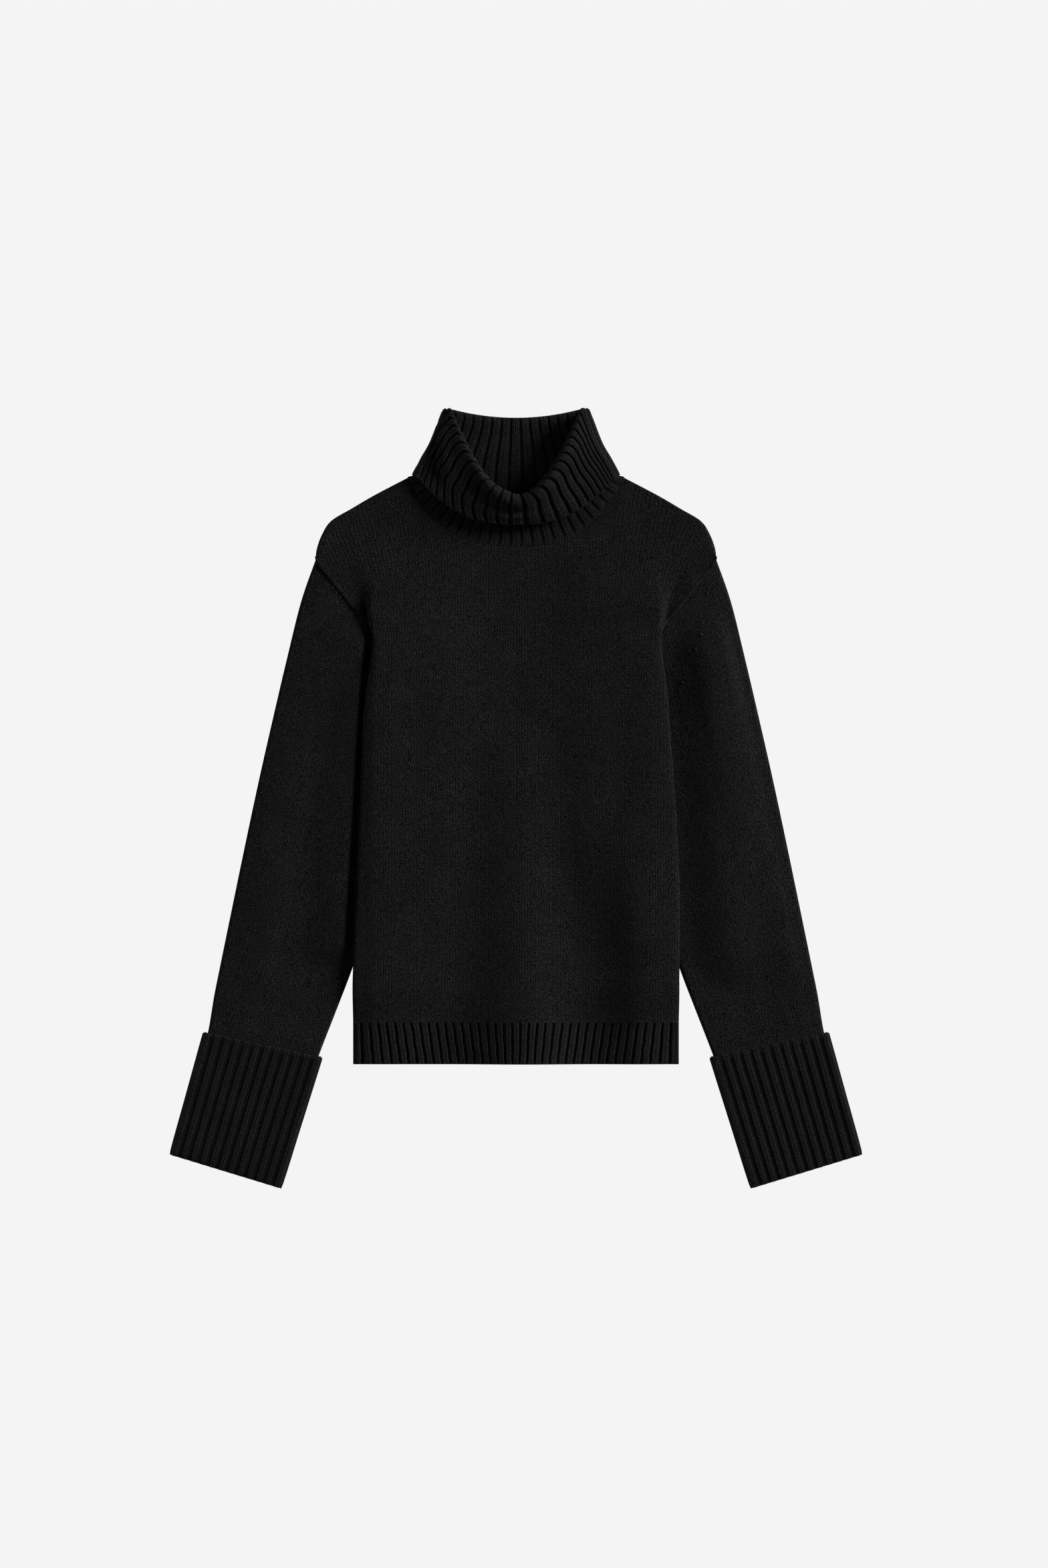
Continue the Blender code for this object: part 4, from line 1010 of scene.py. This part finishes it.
front_shares = np.linspace(0.0, 1.0, COLLAR_FRONT_RIBS * RIB_POINTS + 1)
back_shares = np.linspace(1.0, 0.0, COLLAR_BACK_RIBS * RIB_POINTS + 1)


def collar_ring(row, shift):
    """One ring of the collar's tube: its front from left to right, round the side fold, its back, and round
    again to the first point."""
    side_x, side_y, lean, front_y, back_y, power, front_z, side_z, back_z = row[:9]
    radius = 0.5 * (side_z - back_z)
    out, up = radius * np.cos(np.radians(lean)), radius * np.sin(np.radians(lean))
    half_width, side_y = side_x - out, side_y - up
    front_x, front_y = u_curve(half_width, side_y, front_y, power, front_shares + shift)
    front_z = between(side_z, front_z, np.sin(front_shares * pi))
    front = np.column_stack([front_x, front_y, front_z])
    back_x, back_line = u_curve(half_width, side_y, back_y, BACK_POWER, back_shares)
    back = np.column_stack([back_x, back_line, np.full(len(back_x), back_z)])
    turn = np.linspace(0.0, pi, COLLAR_CAP_STEPS + 2)[1:-1]
    centre = back_z + radius
    right_cap = np.column_stack(
        [half_width + out * np.sin(turn), side_y + up * np.sin(turn), centre + radius * np.cos(turn)])
    left_cap = np.column_stack(
        [-half_width - out * np.sin(turn), side_y + up * np.sin(turn), centre - radius * np.cos(turn)])
    return np.concatenate([front, right_cap, back, left_cap, front[:1]])


collar_table = np.array(COLLAR_RINGS)
fine = np.linspace(0.0, len(COLLAR_RINGS) - 1.0, COLLAR_SAMPLES)
front_run = np.linalg.norm(np.diff(through(collar_table[:, [3, 6]], fine), axis=0), axis=1)
side_run = np.linalg.norm(np.diff(through(collar_table[:, [0, 1, 7]], fine), axis=0), axis=1)
collar_reach = np.concatenate([[0.0], np.cumsum(0.5 * (front_run + side_run))])
ring_at = np.interp(np.linspace(0.0, collar_reach[-1], COLLAR_ROWS + 1), collar_reach, fine)[:, None]
collar_rows = through(collar_table, ring_at[:, 0])
left_way = np.sin(pi * np.clip(front_shares / 0.5, 0.0, 1.0))
right_half = np.clip((front_shares - 0.5) / 0.5, 0.0, 1.0)
right_way = RIGHT_PEAK * right_half * (1.0 - right_half) ** RIGHT_EASE
collar_shift = (RIGHT_SHIFT * reading(RIGHT_BEND, ring_at) * right_way
                - LEFT_SHIFT * reading(LEFT_BEND, ring_at) * left_way)
collar_middle = np.array([collar_ring(row, shift) for row, shift in zip(collar_rows, collar_shift)])
collar_front = collar_middle[:, :len(front_shares)]
swell = SWELL_RISE * bell(front_shares - SWELL_AT, SWELL_WIDTH)
collar_front[..., 1] += swell * bell(ring_at - RIM, SWELL_RINGS)
right_rise = (smooth((collar_middle[..., 0] - RIGHT_RISE_X) / RIGHT_RISE_X_RUN)
              * smooth((collar_middle[..., 2] - RIGHT_RISE_Z) / RIGHT_RISE_Z_RUN))
collar_middle[..., 2] += RIGHT_RISE * right_rise * bell(ring_at - RIGHT_RISE_RING, RIGHT_RISE_RINGS)
roll_window = np.exp(-(((front_shares - ROLL_AT) / ROLL_WIDTH) ** ROLL_POWER))
roll = (ROLL_RISE + ROLL_FULLER * roll_window) * bell(ring_at - ROLL_RING, ROLL_RINGS)
roll = roll * np.sin(pi * front_shares)
step = -STEP_SINK * bell(ring_at - STEP_RING, STEP_RINGS) * roll_window
front_x, front_y = collar_front[..., 0], collar_front[..., 1]
off_dent = front_x - reading(DENT_LINE, front_y)
dent_window = smooth((front_y - DENT_FOOT) / DENT_FOOT_RUN) * smooth((DENT_HEAD - front_y) / DENT_HEAD_RUN)
dent_window = dent_window * smooth((ring_at - RIM) / DENT_RINGS)
dent = DENT_LIP * bell(off_dent - DENT_LIP_AT, DENT_LIP_WIDTH)
dent = dent - DENT_SINK * (1.0 - smooth((off_dent + DENT_FROM) / DENT_RUN))
collar_front[..., 2] += roll + step + dent * dent_window
collar_middle[:, -1] = collar_middle[:, 0]
collar_normal = tube_normals(collar_middle)
front_phase = np.linspace(0.0, COLLAR_FRONT_RIBS, len(front_shares)) + RIB_FIRST
back_phase = np.linspace(0.0, COLLAR_BACK_RIBS, len(back_shares)) + RIB_FIRST
collar_cap = np.linspace(0.0, COLLAR_CAP_RIBS, COLLAR_CAP_STEPS + 2)[1:-1]
back_from = COLLAR_FRONT_RIBS + COLLAR_CAP_RIBS
collar_phase = np.concatenate([
    front_phase, front_phase[-1] + collar_cap, back_phase + back_from,
    back_phase[-1] + back_from + collar_cap, [back_phase[-1] + back_from + COLLAR_CAP_RIBS]])
wrap_across = np.concatenate([
    smooth((WRAP_SHARE - front_shares) / WRAP_SHARE),
    np.linspace(0.0, 1.0, len(collar_phase) - len(front_shares) + 1)[1:]])
collar_phase = collar_phase + WRAP_RIBS * reading(WRAP_DOWN, ring_at) * wrap_across
collar_down = lengths(collar_middle, 0).mean(axis=1, keepdims=True)
collar_ribs = rib_relief(collar_phase, COLLAR_GROOVE, COLLAR_SINK)
outward = collar_ribs * smooth(collar_rows[:, 9:10])
outward *= smooth(collar_down / STAND_START_RUN + STAND_START)
outward *= between(STAND_DEPTH, 1.0, smooth(ring_at - STAND_RING))
inward = collar_ribs * smooth(collar_rows[:, 10:])
back_part = slice(len(front_phase) + COLLAR_CAP_STEPS, len(front_phase) + COLLAR_CAP_STEPS + len(back_phase))
inward[:, back_part] = BACK_DEPTH * collar_ribs[:, back_part] * smooth((BACK_UNTIL - ring_at) / BACK_RINGS)
collar_edge = smooth((collar_down[-1] - collar_down - LIP_FLAT) / LIP_RUN)
collar_map = np.stack(np.broadcast_arrays(rib_place(collar_phase, COLLAR_GROOVE), collar_down), axis=2)
collar = cloth(
    "collar_rib",
    collar_middle + collar_normal * (CLOTH / 2 + outward * collar_edge)[..., None],
    collar_middle - collar_normal * (CLOTH / 2 + inward * collar_edge)[..., None],
    True, [(None, collar_map)], rib_wool)
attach(collar, "root")
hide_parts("collar")

# The collar is linked on stitch by stitch: a chain runs along the front of its seam
CHAIN_STEP, CHAIN_LENGTH, CHAIN_WIDTH = 3.3, 2.4, 1.1
CHAIN_BELOW, CHAIN_TURN = 0.9, 30.0        # this far below the seam, each stitch turned out of its line
CHAIN_FROM, CHAIN_TO = 0.03, 0.97          # the shares of the seam between which it shows
chain_count = int(np.linalg.norm(np.diff(front_outer[-1, :, :2], axis=0), axis=1).sum() / CHAIN_STEP)
chain_x, chain_y = u_curve(FRONT_NECK.half_width, FRONT_NECK.side_y, FRONT_NECK.centre_y, FRONT_NECK.power,
                           np.linspace(CHAIN_FROM, CHAIN_TO, chain_count))
chain = []
for x, y, slope in zip(chain_x, chain_y, np.degrees(np.arctan2(np.gradient(chain_y), np.gradient(chain_x)))):
    chain.append((x, y - CHAIN_BELOW, front_top(x, y) - STITCH_SINK, slope + CHAIN_TURN))
neck_chain = tight_stitches("collar_neck_chain", chain, CHAIN_LENGTH, CHAIN_WIDTH)
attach(neck_chain, "root")


# Floor, light and camera ------------------------------------------------------------------------------
# A pale floor that gives its own light and so takes no shadow, a large soft light from the upper right with
# a weaker one opposite, and a camera straight above with a long lens. Sizes here are in metres.

FLOOR_REACH, FLOOR_DROP = 6.0, 0.0005
paper = bpy.data.materials.new("pale_paper_floor")
paper.use_nodes = True
paper_shader = paper.node_tree.nodes["Principled BSDF"]
paper_shader.inputs["Base Color"].default_value = linear("#000000")
paper_shader.inputs["Emission Color"].default_value = linear("#f4f4f4")
paper_shader.inputs["Emission Strength"].default_value = 1.0
paper_shader.inputs["Roughness"].default_value = 1.0
paper_shader.inputs["Specular IOR Level"].default_value = 0.0
floor_mesh = bmesh.new()
bmesh.ops.create_grid(floor_mesh, x_segments=1, y_segments=1, size=FLOOR_REACH)
bmesh.ops.translate(floor_mesh, verts=floor_mesh.verts, vec=(0.0, 0.0, -FLOOR_DROP))
floor = as_piece(floor_mesh, "floor", paper)


def soft_sun(name, side, energy, angle):
    """A sun that shines from one side; the wider its angle, the softer its shadows."""
    data = bpy.data.lights.new(name, "SUN")
    data.energy = energy
    data.angle = angle
    sun = bpy.data.objects.new(name, data)
    bpy.context.collection.objects.link(sun)
    sun.rotation_euler = Vector(side).to_track_quat("Z", "Y").to_euler()


soft_sun("key_upper_right", side=(1.0, 0.47, 0.36), energy=8.0, angle=0.4)
soft_sun("fill_left", side=(-1.0, 0.2, 0.3), energy=1.3, angle=0.8)
world = bpy.data.worlds.new("studio")
bpy.context.scene.world = world
world.use_nodes = True
world.node_tree.nodes["Background"].inputs["Color"].default_value = (1.0, 1.0, 1.0, 1.0)
world.node_tree.nodes["Background"].inputs["Strength"].default_value = 0.1
bpy.context.scene.view_settings.view_transform = "Standard"

CAMERA_X, CAMERA_Y, CAMERA_HEIGHT = 0.0084, 0.0147, 9.0
FRAME_HEIGHT = 1.6415    # how much of the floor it sees
SENSOR = 24.0            # mm
camera_data = bpy.data.cameras.new("camera")
camera_data.sensor_fit = "VERTICAL"
camera_data.sensor_height = SENSOR
camera_data.lens = SENSOR * CAMERA_HEIGHT / FRAME_HEIGHT
camera = bpy.data.objects.new("camera", camera_data)
bpy.context.collection.objects.link(camera)
camera.location = (CAMERA_X, CAMERA_Y, CAMERA_HEIGHT)
bpy.context.scene.camera = camera
